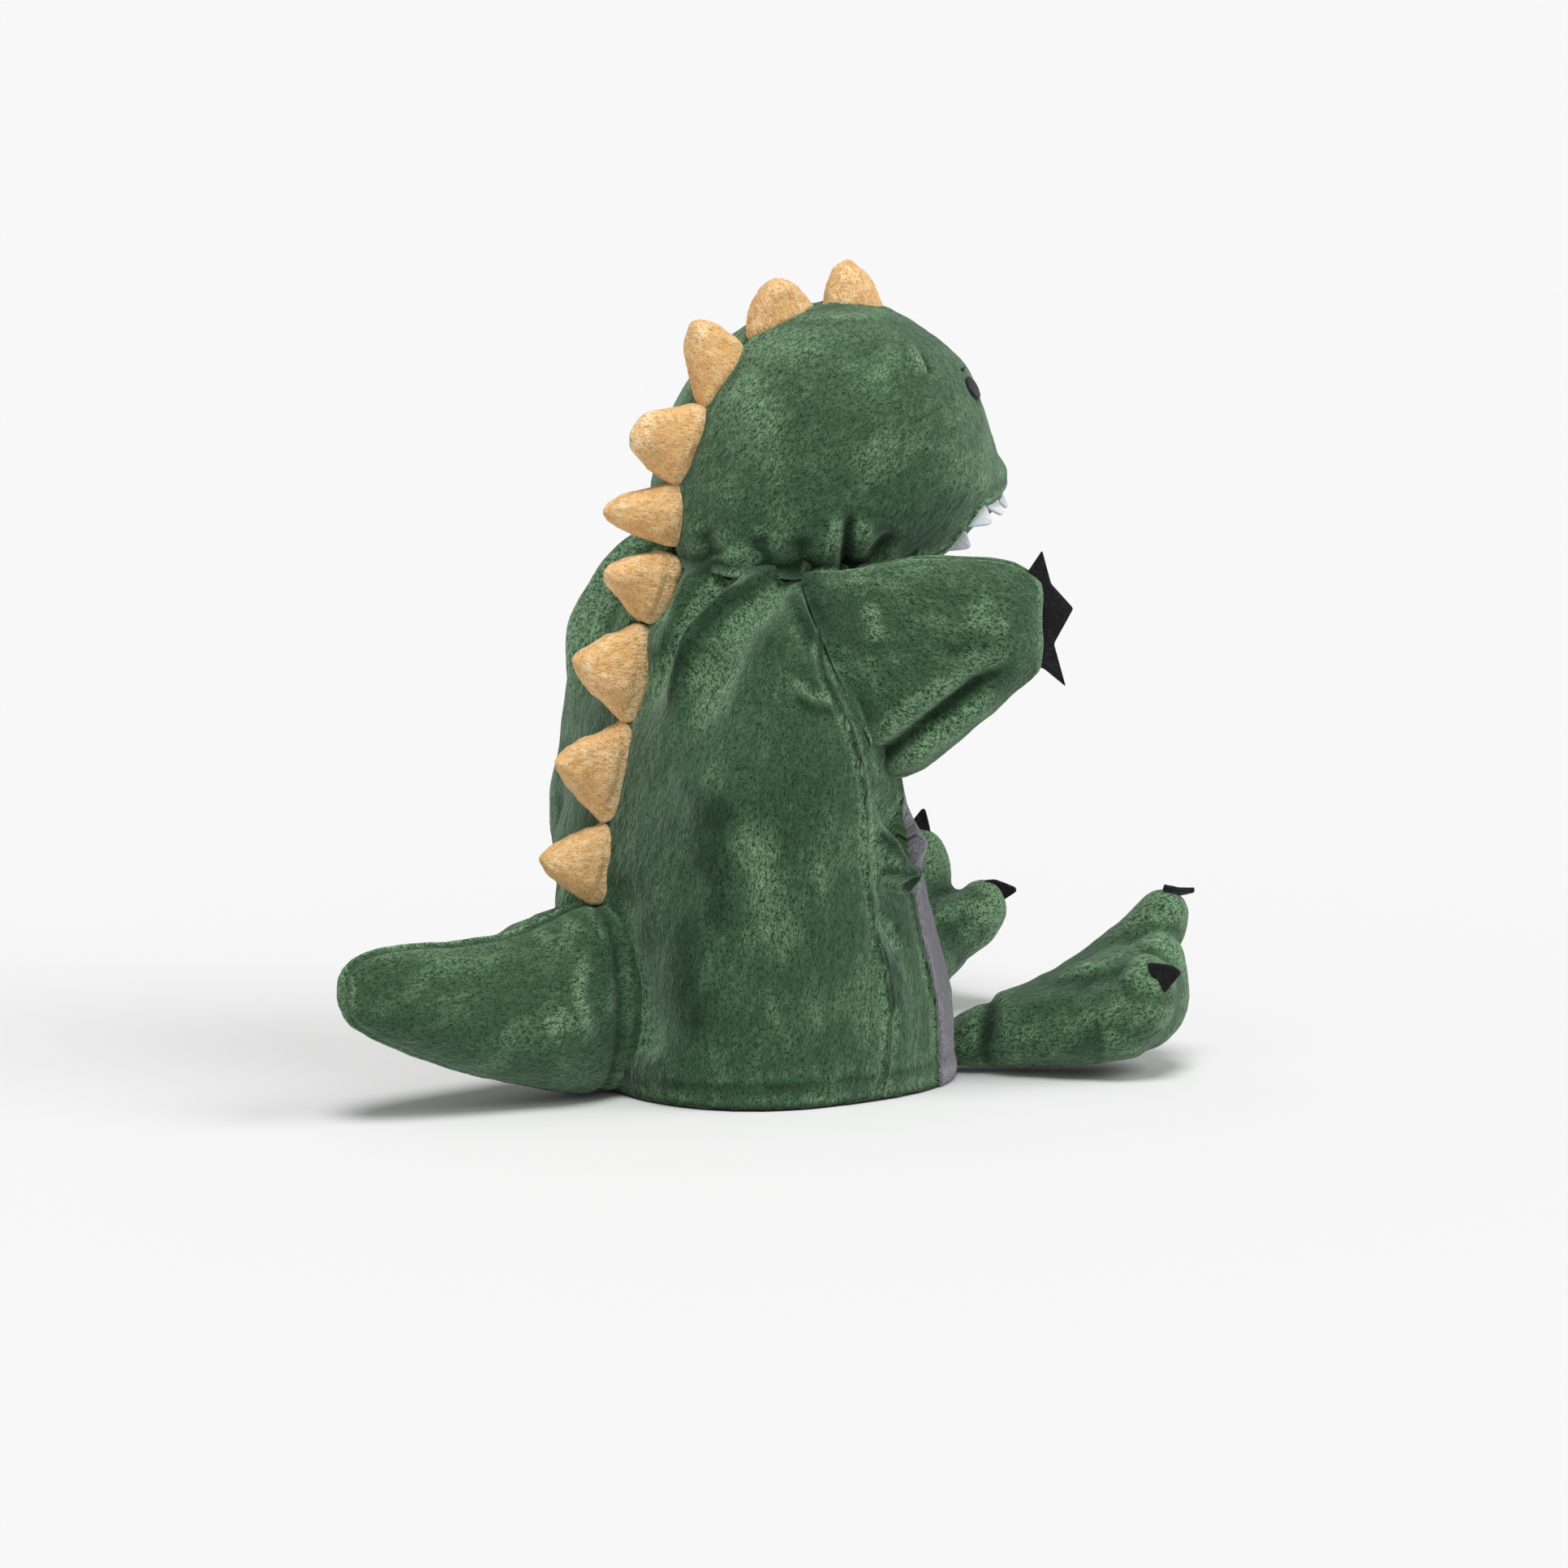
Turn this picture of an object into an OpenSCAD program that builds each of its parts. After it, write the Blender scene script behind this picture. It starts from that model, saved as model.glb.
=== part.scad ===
/* [Body] */
// Height of the body from the hem to the neck seam
body_h = 173; // [165:1:181]
// Half the width of the body where the hem stands
hem_half_w = 62; // [59:1:65]
// Half the depth of the body where the hem stands
hem_half_d = 60; // [57:1:63]
// Thickness of the plush: backing and pile together
plush_t = 3; // [2.5:0.1:3.4]
// Depth of the turned-up hem inside the body
hem_turn = 14; // [10:1:20]
// Half the angle that the belly panel takes up at the front
belly_half_angle = 60; // [50:1:66]

/* [Head] */
// Height of the head's crown above the neck seam
crown_h = 81; // [78:1:86]
// Number of teeth along the upper lip
teeth_n = 11; // [7:2:11]
// Length of one tooth
tooth_l = 8; // [5:0.5:9]
// Height of an eye
eye_h = 8.5; // [6:0.5:11]

/* [Mouth] */
// Width of the mouth boards at the hinge
mouth_w = 72; // [64:1:76]
// Thickness of a mouth board
board_t = 2; // [1.5:0.1:2.2]
// Thickness of the felt that lines the mouth
felt_t = 1.2; // [0.8:0.1:1.4]

/* [Arms] */
// Angle of an arm, outwards from straight ahead
arm_yaw = 33; // [31:1:36]
// Reach of an arm from the shoulder to the tip of the hand
arm_reach = 58; // [52:1:60]

/* [Legs] */
// Angle of the right leg, outwards from straight ahead
right_leg_yaw = 33; // [20:1:36]
// Angle of the left leg, outwards from straight ahead
left_leg_yaw = 30; // [20:1:36]
// Roll of both feet about their own legs, to the puppet's right
foot_roll = 18; // [0:1:20]
// Reach of a leg from the hip to the toes
leg_reach = 76; // [70:1:78]

/* [Tail] */
// Reach of the tail behind the body
tail_reach = 96; // [85:1:105]
// Half the width of the tail at its root
tail_half_w = 27; // [24:1:28]

/* [Crest] */
// Thickness of a stuffed crest spike at its base
spike_t = 11; // [8:0.5:12]

/* [Hidden] */

green = [0.22, 0.45, 0.27];
tan_plush = [0.85, 0.65, 0.40];
grey = [0.49, 0.48, 0.49];
black = [0.14, 0.14, 0.14];
white = [0.88, 0.89, 0.90];
lining = [0.20, 0.30, 0.24];
filling = [0.95, 0.94, 0.90];
mouth_red = [0.48, 0.16, 0.16];
board_grey = [0.62, 0.60, 0.56];

// The body's own centre line stands this far from the middle of the whole toy's footprint
centre_shift = [0, -17.9, 0];
seam = 0.3;        // half the gap left along each seam, in degrees round the body
skin = 0.4;        // gap between layers that lie on each other
neck_z = body_h - 3;
top_z = body_h - 13;   // where the stiff part of the body ends and the neck bends

// Body: height, half width, half depth and the middle's place, from the hem to the neck
body_levels = [
    [0, hem_half_w, hem_half_d, 1], [25, 65, 60, 4], [60, 69, 56, 9.5], [85, 72.5, 50, 12],
    [110, 75, 43, 13.5], [135, 71, 37, 14], [152, 63, 34, 13.5], [160, 58, 33, 11.5], [173, 46, 31, 4]];
body_rows = [0, 12, 28, 52, 80, 106, 130, 148, top_z];

// Head: height above the neck seam, half width, front and back of the middle line
crown = crown_h / 81.3;
head_levels = [
    [4, 50, -76, 35.5], [17, 54, -83, 34.8], [27, 55, -84.5, 33], [39, 54.5, -80, 29],
    [53, 49, -75.5, 22.6], [67, 38, -66, 11.3], [75.6, 26, -54, 0], [80, 14, -43, -13],
    [81.3, 6, -35, -23]];
head_rows = [0, 0.13, 0.27, 0.42, 0.57, 0.70, 0.81, 0.89, 0.95, 0.985, 1];

// Crest: both ends of each spike's base on the middle line, then its tip, as [y, z]
crest = [
    [[-47, 250.5], [-26, 255.5], [-35.5, 268.5]], [[-19, 255.5], [4.5, 248.5], [-1.5, 264]],
    [[11.5, 241.5], [23, 225.5], [25, 250.5]], [[24, 223.5], [34, 201], [52, 217]],
    [[34.5, 199], [36, 182], [60, 191.5]], [[39.5, 171], [47, 157], [60.5, 170]],
    [[50, 152.5], [53.5, 123], [73.5, 143]], [[54.5, 120.5], [62, 91], [80.5, 112]],
    [[62, 88], [67, 66], [84, 78]]];

// Mouth: the hinge line, and the slopes of the palate and of the open jaw
hinge_y = -33;
hinge_z = 167;
palate_slope = 28;
jaw_slope = 6;
palate_l = 48;
jaw_l = 44;

shoulder = [62, 2, 141.5];
hip = [37, -57, 10];
tail_root = [0, 68, 31];

// ---- points and sheets ----

function flat(list) = [for (part = list) for (item = part) item];
function at(table, z, column) = lookup(z, [for (row = table) [row[0], row[column]]]);
function power(v, e) = sign(v) * pow(abs(v), e);
function oval(a, b, n, t) = [a * power(cos(t), 2 / n), b * power(sin(t), 2 / n)];
function steps(from, to, count) = [for (k = [0:count]) from + (to - from) * k / count];
function mix(p, q, f) = p + (q - p) * f;

function two(a, b, c, d) = [[a, b, c], [a, c, d]];

// A closed sheet between an outer and an inner grid of points, each [row][column]
module sheet(outer, inner) {
    rows = len(outer);
    cols = len(outer[0]);
    n = rows * cols;
    r = rows - 1;
    c = cols - 1;
    function o(i, j) = i * cols + j;
    function m(i, j) = n + i * cols + j;
    polyhedron(
        points = concat(flat(outer), flat(inner)),
        faces = flat(concat(
            [for (i = [0:r - 1], j = [0:c - 1]) two(o(i, j), o(i, j + 1), o(i + 1, j + 1), o(i + 1, j))],
            [for (i = [0:r - 1], j = [0:c - 1]) two(m(i + 1, j), m(i + 1, j + 1), m(i, j + 1), m(i, j))],
            [for (j = [0:c - 1]) two(o(0, j + 1), o(0, j), m(0, j), m(0, j + 1))],
            [for (j = [0:c - 1]) two(o(r, j), o(r, j + 1), m(r, j + 1), m(r, j))],
            [for (i = [0:r - 1]) two(o(i, 0), o(i + 1, 0), m(i + 1, 0), m(i, 0))],
            [for (i = [0:r - 1]) two(o(i + 1, c), o(i, c), m(i, c), m(i + 1, c))])),
        convexity = 4);
}

// A closed band that goes all the way round, between outer and inner rings
module band(outer, inner) {
    rows = len(outer);
    cols = len(outer[0]);
    n = rows * cols;
    r = rows - 1;
    function o(i, j) = i * cols + j % cols;
    function m(i, j) = n + i * cols + j % cols;
    polyhedron(
        points = concat(flat(outer), flat(inner)),
        faces = flat(concat(
            [for (i = [0:r - 1], j = [0:cols - 1]) two(o(i, j), o(i, j + 1), o(i + 1, j + 1), o(i + 1, j))],
            [for (i = [0:r - 1], j = [0:cols - 1]) two(m(i + 1, j), m(i + 1, j + 1), m(i, j + 1), m(i, j))],
            [for (j = [0:cols - 1]) two(o(0, j + 1), o(0, j), m(0, j), m(0, j + 1))],
            [for (j = [0:cols - 1]) two(o(r, j), o(r, j + 1), m(r, j + 1), m(r, j))])),
        convexity = 4);
}

// A solid through closed rings, with both ends filled
module stuffed(rings) {
    cols = len(rings[0]);
    r = len(rings) - 1;
    function o(i, j) = i * cols + j % cols;
    polyhedron(
        points = flat(rings),
        faces = concat(
            flat([for (i = [0:r - 1], j = [0:cols - 1])
                two(o(i, j), o(i, j + 1), o(i + 1, j + 1), o(i + 1, j))]),
            [for (j = [1:cols - 2]) [o(0, 0), o(0, j + 1), o(0, j)]],
            [for (j = [1:cols - 2]) [o(r, 0), o(r, j), o(r, j + 1)]]),
        convexity = 4);
}

// Everything is drawn round the body's centre line and set down at the toy's own origin
module placed() {
    translate(centre_shift) children();
}

// Drawn for the puppet's left side, and turned over for its right
module on_side(left) {
    if (left) children();
    else mirror([1, 0, 0]) children();
}

// ---- body ----

function body_pt(z, t, inset) =
    let (p = oval(at(body_levels, z, 1) - inset, at(body_levels, z, 2) - inset, z < 40 ? 2.5 : 2.2, t))
    [p[0], at(body_levels, z, 3) + p[1], z];
function body_grid(rows, from, to, count, inset) =
    [for (z = rows) [for (t = steps(from, to, count)) body_pt(z, t, inset)]];

module body_panel(from, to, count) {
    placed() sheet(body_grid(body_rows, from + seam, to - seam, count, 0),
                   body_grid(body_rows, from + seam, to - seam, count, plush_t));
}

module back_panel(left) {
    color(green) on_side(left) body_panel(0, 90, 10);
}

module side_panel(left) {
    color(green) on_side(left) body_panel(-90 + belly_half_angle, 0, 4);
}

module belly_panel() {
    color(grey) body_panel(-90 - belly_half_angle, -90 + belly_half_angle, 10);
}

// The edge turned up inside, which the puppet stands on
module hem_facing() {
    lean = 0.06 * hem_turn;
    half_w = hem_half_w - plush_t - skin;
    half_d = hem_half_d - plush_t - skin - lean;
    color(green) placed() translate([0, 1 + lean, 0]) linear_extrude(hem_turn) difference() {
        polygon([for (t = [0:6:354]) oval(half_w, half_d, 2.5, t)]);
        polygon([for (t = [0:6:354]) oval(half_w - 2, half_d - 2, 2.5, t)]);
    }
}

module body_lining() {
    rows = [hem_turn + skin, 28, 52, 80, 106, 130, 148, top_z - 2];
    color(lining) placed() band(body_grid(rows, 0, 350, 35, plush_t + 3 * skin),
                                body_grid(rows, 0, 350, 35, plush_t + 3 * skin + 1));
}

// The tape that holds the gathers of the neck seam, inside the neck
module neck_tape() {
    outline = [for (t = [0:7.5:352.5]) oval(38, 24, 2, t)];
    inside = [for (t = [0:7.5:352.5]) oval(36.2, 22.2, 2, t)];
    color(lining) placed() translate([0, 6, neck_z - 7]) linear_extrude(8)
        difference() {
            polygon(outline);
            polygon(inside);
        }
}

// ---- head ----

// The upper lip: it is highest at the front and comes down to the mouth's corners
function lip(t) =
    let (away = abs(((t + 360) % 360) - 270))
    body_h + lookup(away, [[0, 22.5], [20, 21.5], [40, 19], [52, 16.5], [60, 10], [66, 5], [72, 4], [180, 4]]);
function head_pt(f, t, inset) =
    let (low = lip(t), high = body_h + 81.2 * crown,
         z = low + (high - low) * f, h = (z - body_h) / crown,
         half_w = max(at(head_levels, h, 1) - inset, 2),
         front = at(head_levels, h, 2), back = at(head_levels, h, 3),
         p = oval(half_w, max((back - front) / 2 - inset, 2), 2.1, t))
    [p[0], (front + back) / 2 + p[1], z - inset * f];
function head_grid(rows, inset) =
    [for (f = rows) [for (t = steps(-90 + seam, 90 - seam, 18)) head_pt(f, t, inset)]];

module head_panel(left) {
    color(green) on_side(left)
        placed() sheet(head_grid(head_rows, 0), head_grid(head_rows, plush_t));
}

module head_wadding(left) {
    rows = [0.12, 0.27, 0.42, 0.57, 0.70, 0.81, 0.89];
    color(filling) on_side(left)
        placed() sheet(head_grid(rows, plush_t + skin), head_grid(rows, plush_t + 8));
}

// An arch over the fingers or under the thumb: each row is [y, half width, foot, crown]
function arch(rows, inset) =
    [for (row = rows) [for (t = steps(0, 180, 12))
        [(row[1] - inset) * cos(t), row[0],
         row[2] + (row[3] - row[2] - sign(row[3] - row[2]) * inset) * sin(t)]]];

module finger_pocket() {
    rows = [[-12, 36, 178, 213], [-30, 36, 178, 214], [-46, 32, 178.6, 212],
            [-57, 25, 184.6, 208], [-65, 16, 189, 203], [-69, 7, 191.2, 198]];
    color(lining) placed() sheet(arch(rows, 0), arch(rows, 1.2));
}

// A tongue-shaped plate for one half of the mouth
module mouth_plate(width, length, thick) {
    linear_extrude(thick)
        polygon(concat([[width / 2, 0]], [for (t = [0:10:180])
            [width / 2 * 0.97 * cos(t), -length * 0.42 - length * 0.58 * power(sin(t), 0.9)]],
            [[-width / 2, 0]]));
}

module at_palate(lift) {
    placed() translate([0, hinge_y - 2, hinge_z + 1.5]) rotate([-palate_slope, 0, 0])
        translate([0, 0, lift]) children();
}

module palate_board() {
    color(board_grey) at_palate(felt_t + 0.1) mouth_plate(mouth_w, palate_l, board_t);
}

module palate_felt() {
    color(mouth_red) at_palate(0) mouth_plate(mouth_w + 2, palate_l + 1, felt_t);
}

// Felt triangles that hang from the upper lip
module upper_teeth() {
    color(white) placed() for (k = [0:teeth_n - 1]) {
        t = 270 + (k - (teeth_n - 1) / 2) * 116 / teeth_n;
        here = head_pt(0, t, plush_t / 2 + 0.6);
        next = head_pt(0, t + 4, plush_t / 2 + 0.6);
        turn = atan2(next[1] - here[1], next[0] - here[0]);
        slope = atan2(next[2] - here[2], norm([next[0] - here[0], next[1] - here[1]]));
        base = tooth_l * 0.5;
        translate(here - [0, 0, 2.2]) rotate([0, 0, turn]) rotate([0, -slope, 0]) rotate([90, 0, 0])
            linear_extrude(felt_t, center = true)
                polygon([[-base, 0], [base, 0], [0, -tooth_l]]);
    }
}

// A flat oval or stitch lying on the face, at an angle from straight ahead
module on_face(side, h, away) {
    f = (h - 22) / (81.2 - 22);
    t = 270 + side * away;
    here = head_pt(f, t, 0);
    beside = head_pt(f, t + 2, 0) - here;
    above = head_pt(f + 0.02, t, 0) - here;
    out = cross(beside, above) / norm(cross(beside, above));
    across = beside / norm(beside);
    up = cross(out, across);
    placed() multmatrix([
        [across[0], up[0], out[0], here[0] + out[0] * 0.5],
        [across[1], up[1], out[1], here[1] + out[1] * 0.5],
        [across[2], up[2], out[2], here[2] + out[2] * 0.5], [0, 0, 0, 1]]) children();
}

module eye(side) {
    color(black) on_face(side, 51, 32) linear_extrude(1)
        polygon([for (t = [0:15:345]) oval(eye_h * 0.38, eye_h / 2, 2, t)]);
}

module brow_stitch(side) {
    color(black) on_face(side, 59, 33) linear_extrude(0.8)
        polygon([for (t = [0:30:330]) oval(2, 0.5, 2, t)]);
}

// ---- jaw ----

module at_jaw(lift) {
    placed() translate([0, hinge_y - 2, hinge_z - 1.5]) rotate([jaw_slope, 0, 0])
        translate([0, 0, lift]) children();
}

module jaw_board() {
    color(board_grey) at_jaw(-felt_t - 0.1 - board_t) mouth_plate(mouth_w - 6, jaw_l - 2, board_t);
}

module jaw_felt() {
    color(mouth_red) at_jaw(-felt_t) mouth_plate(mouth_w - 4, jaw_l - 1, felt_t);
}

// Rows of the chin, measured along the jaw from the hinge: [y, half width, foot, crown]
function chin_rows(half_w, drop, length, foot) =
    [for (f = [0, 0.2, 0.4, 0.6, 0.78, 0.9, 0.98])
        [-1 - length * f, half_w * pow(1 - pow(f, 3), 0.5), foot, foot - drop * pow(1 - pow(f, 3), 0.5)]];
board_under = -felt_t - board_t - 0.5;

module chin_panel() {
    rows = chin_rows(mouth_w / 2 - 1, 18, jaw_l, board_under);
    color(green) at_jaw(0) sheet(arch(rows, 0), arch(rows, plush_t));
}

module chin_wadding() {
    rows = chin_rows(mouth_w / 2 - 5, 14, jaw_l - 7, board_under);
    color(filling) at_jaw(0) sheet(arch(rows, 0), arch(rows, 3));
}

module thumb_pocket() {
    rows = chin_rows(17, 10.5, jaw_l - 12, board_under);
    color(lining) at_jaw(0) sheet(arch(rows, 0), arch(rows, 1));
}

// ---- arms ----

// Sections of an arm: share of its reach, middle height, half height, half thickness.
// The shoulder's cloth bends before the first one.
arm_levels = [[0.34, 148.5, 27.5, 13], [0.5, 152, 25, 14.5], [0.7, 155.5, 21.5, 14],
              [0.87, 157, 17.5, 11], [0.96, 157.5, 15.5, 6], [1, 157.5, 13.5, 2.6]];
arm_dir = [sin(arm_yaw), -cos(arm_yaw), 0];
arm_out = [cos(arm_yaw), sin(arm_yaw), 0];

function arm_rings(from, to, count, inset) =
    [for (row = arm_levels) [for (t = steps(from, to, count))
        let (p = oval(max(row[3] - inset, 0.8), max(row[2] - inset, 1.2), 2.3, t),
             along = min(row[0] * arm_reach, arm_reach - inset))
        [shoulder[0], shoulder[1], row[1]] + arm_dir * along + arm_out * p[0] + [0, 0, p[1]]]];

module arm_panel(left, outer_face) {
    from = outer_face ? -90 : 90;
    color(green) on_side(left) placed() sheet(
        arm_rings(from + 1, from + 179, 12, 0), arm_rings(from + 1, from + 179, 12, plush_t));
}

module arm_wadding(left) {
    color(filling) on_side(left) placed() stuffed(arm_rings(0, 337.5, 15, plush_t + skin));
}

// One flat felt piece with three points, sewn into the end of the hand
module hand_claws(left) {
    shape = [[0.6, 142], [8, 137.5], [4.5, 151], [10.5, 163], [3.5, 171], [0.6, 181],
             [-3.5, 176], [0.6, 172]];
    color(black) on_side(left) placed()
        translate([shoulder[0], shoulder[1], 0] + arm_dir * arm_reach)
            rotate([0, 0, arm_yaw - 90]) rotate([90, 0, 0])
                linear_extrude(felt_t, center = true) polygon(shape);
}

// ---- legs ----

// Sections along the leg: share of its reach, middle height, half height, half width
leg_levels = [[0.02, 9, 7, 7], [0.12, 13, 11, 12], [0.3, 15.5, 14, 17], [0.5, 19.5, 18, 20],
              [0.7, 26, 24, 23], [0.84, 31, 26, 23.5], [0.94, 34, 22, 20], [0.99, 35.5, 13, 12]];

// Three toes stand out of the upper half of the foot's end
function toe(t) = t > 8 && t < 172 ? max(0, cos(3 * (t - 90))) : 0;
function leg_rings(yaw, from, to, count, inset) =
    [for (row = leg_levels) [for (t = steps(from, to, count))
        let (p = oval(max(row[3] - inset, 1.2), max(row[2] - inset, 1.2), 2.2, t),
             along = min(row[0] * leg_reach, leg_reach - inset),
             rise = toe(t) * 5 * pow(row[0], 4),
             q = [p[0] * cos(foot_roll * row[0]) + p[1] * sin(foot_roll * row[0]),
                  -p[0] * sin(foot_roll * row[0]) + p[1] * cos(foot_roll * row[0])])
        [-hip[0], hip[1], max(row[1] + q[1], 0.3 + inset) + rise]
            + [-sin(yaw), -cos(yaw), 0] * along + [cos(yaw), -sin(yaw), 0] * q[0]]];

// Both feet roll the same way, so the left leg is the right one set over, not its mirror image
module leg_place(left) {
    if (left) translate([2 * hip[0], 0, 0]) children();
    else children();
}

function yaw_of(left) = left ? -left_leg_yaw : right_leg_yaw;

module foot_panel(left, upper) {
    from = upper ? 0 : 180;
    color(green) placed() leg_place(left)
        sheet(leg_rings(yaw_of(left), from + 1, from + 179, 18, 0),
              leg_rings(yaw_of(left), from + 1, from + 179, 18, plush_t));
}

module foot_wadding(left) {
    color(filling) placed() leg_place(left) stuffed(leg_rings(yaw_of(left), 0, 340, 17, plush_t + skin));
}

// Three felt claws, one on the crown of each toe
module toe_claws(left) {
    yaw = yaw_of(left);
    rings = leg_rings(yaw, 30, 150, 2, -0.4);
    color(black) placed() leg_place(left) for (k = [0:2])
        translate(rings[6][k]) rotate([0, 0, -yaw]) rotate([62, (1 - k) * 22 + foot_roll, 0])
            linear_extrude(felt_t, center = true) polygon([[-2.8, 3], [2.8, 3], [0, 11]]);
}

// ---- tail ----

// Sections along the tail: share of its reach, lowest, highest, half width as a share
tail_levels = [[0, 2, 62, 0.92], [0.14, 2.5, 61, 1], [0.33, 7, 55, 0.93], [0.55, 15, 54.5, 0.78],
               [0.76, 23, 56, 0.6], [0.9, 29.5, 56.5, 0.44], [0.97, 35, 54, 0.26], [1, 41, 50, 0.1]];

function tail_rings(from, to, count, inset) =
    [for (row = tail_levels) [for (t = steps(from, to, count))
        let (half = (row[2] - row[1]) / 2,
             p = oval(max(tail_half_w * row[3] - inset, 1), max(half - inset, 1.2), 2.1, t),
             hollow = (1 - row[0]) * 9 * pow(p[0] / tail_half_w, 2),
             y = tail_root[1] + min(max(row[0] * tail_reach, inset), tail_reach - inset) + hollow)
        [p[0], y, row[1] + half + p[1]]]];

module tail_panel(left) {
    color(green) on_side(left)
        placed() sheet(tail_rings(-89, 89, 12, 0), tail_rings(-89, 89, 12, plush_t));
}

module tail_wadding() {
    color(filling) placed() stuffed(tail_rings(0, 337.5, 15, plush_t + skin));
}

// ---- crest ----

module crest_spike(k) {
    low = crest[k - 1][0];
    high = crest[k - 1][1];
    tip = crest[k - 1][2];
    along = (high - low) / norm(high - low);
    out = [-along[1], along[0]];
    base = mix(low, high, 0.5) + (((tip - low) * out > 0) ? out : -out) * (k < 6 ? 2.4 : 1.5);
    half = norm(high - low) / 2 - 0.6;
    rings = [for (f = [0, 0.2, 0.4, 0.6, 0.78, 0.9, 0.97])
        let (middle = mix(base, tip, f))
        [for (t = [0:22.5:337.5])
            let (p = oval(half * pow(1 - f, 0.75), spike_t / 2 * pow(1 - f, 0.5), 2, t),
                 place = middle + along * p[0])
            [p[1], place[0], place[1]]]];
    color(tan_plush) placed() stuffed(rings);
}

back_panel(true);  // back_panel_left
back_panel(false);  // back_panel_right
side_panel(true);  // side_panel_left
side_panel(false);  // side_panel_right
belly_panel();
hem_facing();
body_lining();
neck_tape();
head_panel(true);  // head_panel_left
head_panel(false);  // head_panel_right
head_wadding(true);  // head_wadding_left
head_wadding(false);  // head_wadding_right
finger_pocket();
palate_board();
palate_felt();
upper_teeth();
eye(1);  // eye_left
eye(-1);  // eye_right
brow_stitch(1);  // brow_stitch_left
brow_stitch(-1);  // brow_stitch_right
chin_panel();
chin_wadding();
thumb_pocket();
jaw_board();
jaw_felt();
arm_panel(true, true);  // arm_outer_left
arm_panel(false, true);  // arm_outer_right
arm_panel(true, false);  // arm_inner_left
arm_panel(false, false);  // arm_inner_right
arm_wadding(true);  // arm_wadding_left
arm_wadding(false);  // arm_wadding_right
hand_claws(true);  // hand_claws_left
hand_claws(false);  // hand_claws_right
foot_panel(true, true);  // foot_upper_left
foot_panel(false, true);  // foot_upper_right
foot_panel(true, false);  // foot_sole_left
foot_panel(false, false);  // foot_sole_right
foot_wadding(true);  // foot_wadding_left
foot_wadding(false);  // foot_wadding_right
toe_claws(true);  // toe_claws_left
toe_claws(false);  // toe_claws_right
tail_panel(true);  // tail_panel_left
tail_panel(false);  // tail_panel_right
tail_wadding();
crest_spike(1);  // crest_spike_1
crest_spike(2);  // crest_spike_2
crest_spike(3);  // crest_spike_3
crest_spike(4);  // crest_spike_4
crest_spike(5);  // crest_spike_5
crest_spike(6);  // crest_spike_6
crest_spike(7);  // crest_spike_7
crest_spike(8);  // crest_spike_8
crest_spike(9);  // crest_spike_9
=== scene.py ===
import itertools
import math

import bpy
import numpy as np
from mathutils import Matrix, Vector


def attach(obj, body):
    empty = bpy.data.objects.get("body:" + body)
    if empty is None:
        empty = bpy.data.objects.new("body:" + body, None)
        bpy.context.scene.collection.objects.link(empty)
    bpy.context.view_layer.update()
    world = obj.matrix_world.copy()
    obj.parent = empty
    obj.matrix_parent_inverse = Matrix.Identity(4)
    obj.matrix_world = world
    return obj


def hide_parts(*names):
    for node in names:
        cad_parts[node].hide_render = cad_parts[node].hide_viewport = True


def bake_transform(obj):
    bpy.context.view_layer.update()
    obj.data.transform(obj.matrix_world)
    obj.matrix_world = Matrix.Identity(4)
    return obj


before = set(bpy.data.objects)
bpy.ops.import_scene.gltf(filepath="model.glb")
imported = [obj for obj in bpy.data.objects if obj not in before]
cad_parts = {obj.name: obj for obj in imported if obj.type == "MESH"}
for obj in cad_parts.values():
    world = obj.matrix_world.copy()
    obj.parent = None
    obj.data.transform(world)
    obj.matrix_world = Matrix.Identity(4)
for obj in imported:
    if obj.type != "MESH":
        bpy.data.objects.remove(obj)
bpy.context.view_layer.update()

# Everything is worked out in millimetres round the body's own centre line
CENTRE = np.array([0.0, -17.9, 0.0])
# The spacing of the body's mesh
ROW = 0.95
VIEW_ANGLE = math.radians(33)
TILT = math.radians(10)
CAMERA_AWAY = 2.6
VIEW_WIDTH = 1932 / 3.7 / 1000
SENSOR = 36
AIM_RIGHT, AIM_UP = 0.0070, 0.0946
FLOOR_HALF, FLOOR_DROP = 30, 0.0006
PAPER, BACKDROP, GLOW = 0.752, 0.93, 0.42


def to_metres(points):
    return (np.asarray(points, float) + CENTRE) / 1000


def spot(x, y, z):
    return tuple(float(c) for c in to_metres([x, y, z]))


# ---- camera, floor, light

def set_camera():
    side = Vector((-math.cos(VIEW_ANGLE), math.sin(VIEW_ANGLE), 0))
    right = Vector((-math.sin(VIEW_ANGLE), -math.cos(VIEW_ANGLE), 0))
    back = side * math.cos(TILT) + Vector((0, 0, math.sin(TILT)))
    up = back.cross(right)
    aim = Vector(spot(0, 0, 0)) + right * AIM_RIGHT + up * AIM_UP
    lens = bpy.data.cameras.new("camera")
    lens.sensor_width = SENSOR
    lens.lens = SENSOR * CAMERA_AWAY / VIEW_WIDTH
    lens.clip_end = 20
    camera = bpy.data.objects.new("camera", lens)
    camera.location = aim + back * CAMERA_AWAY
    camera.rotation_euler = back.to_track_quat("Z", "Y").to_euler()
    bpy.context.scene.collection.objects.link(camera)
    bpy.context.scene.camera = camera


def sun(name, place, strength, angle):
    lamp = bpy.data.lights.new(name, "SUN")
    lamp.energy = strength
    lamp.angle = math.radians(angle)
    thing = bpy.data.objects.new(name, lamp)
    thing.location = place
    thing.rotation_euler = Vector(place).to_track_quat("Z", "Y").to_euler()
    bpy.context.scene.collection.objects.link(thing)


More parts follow.
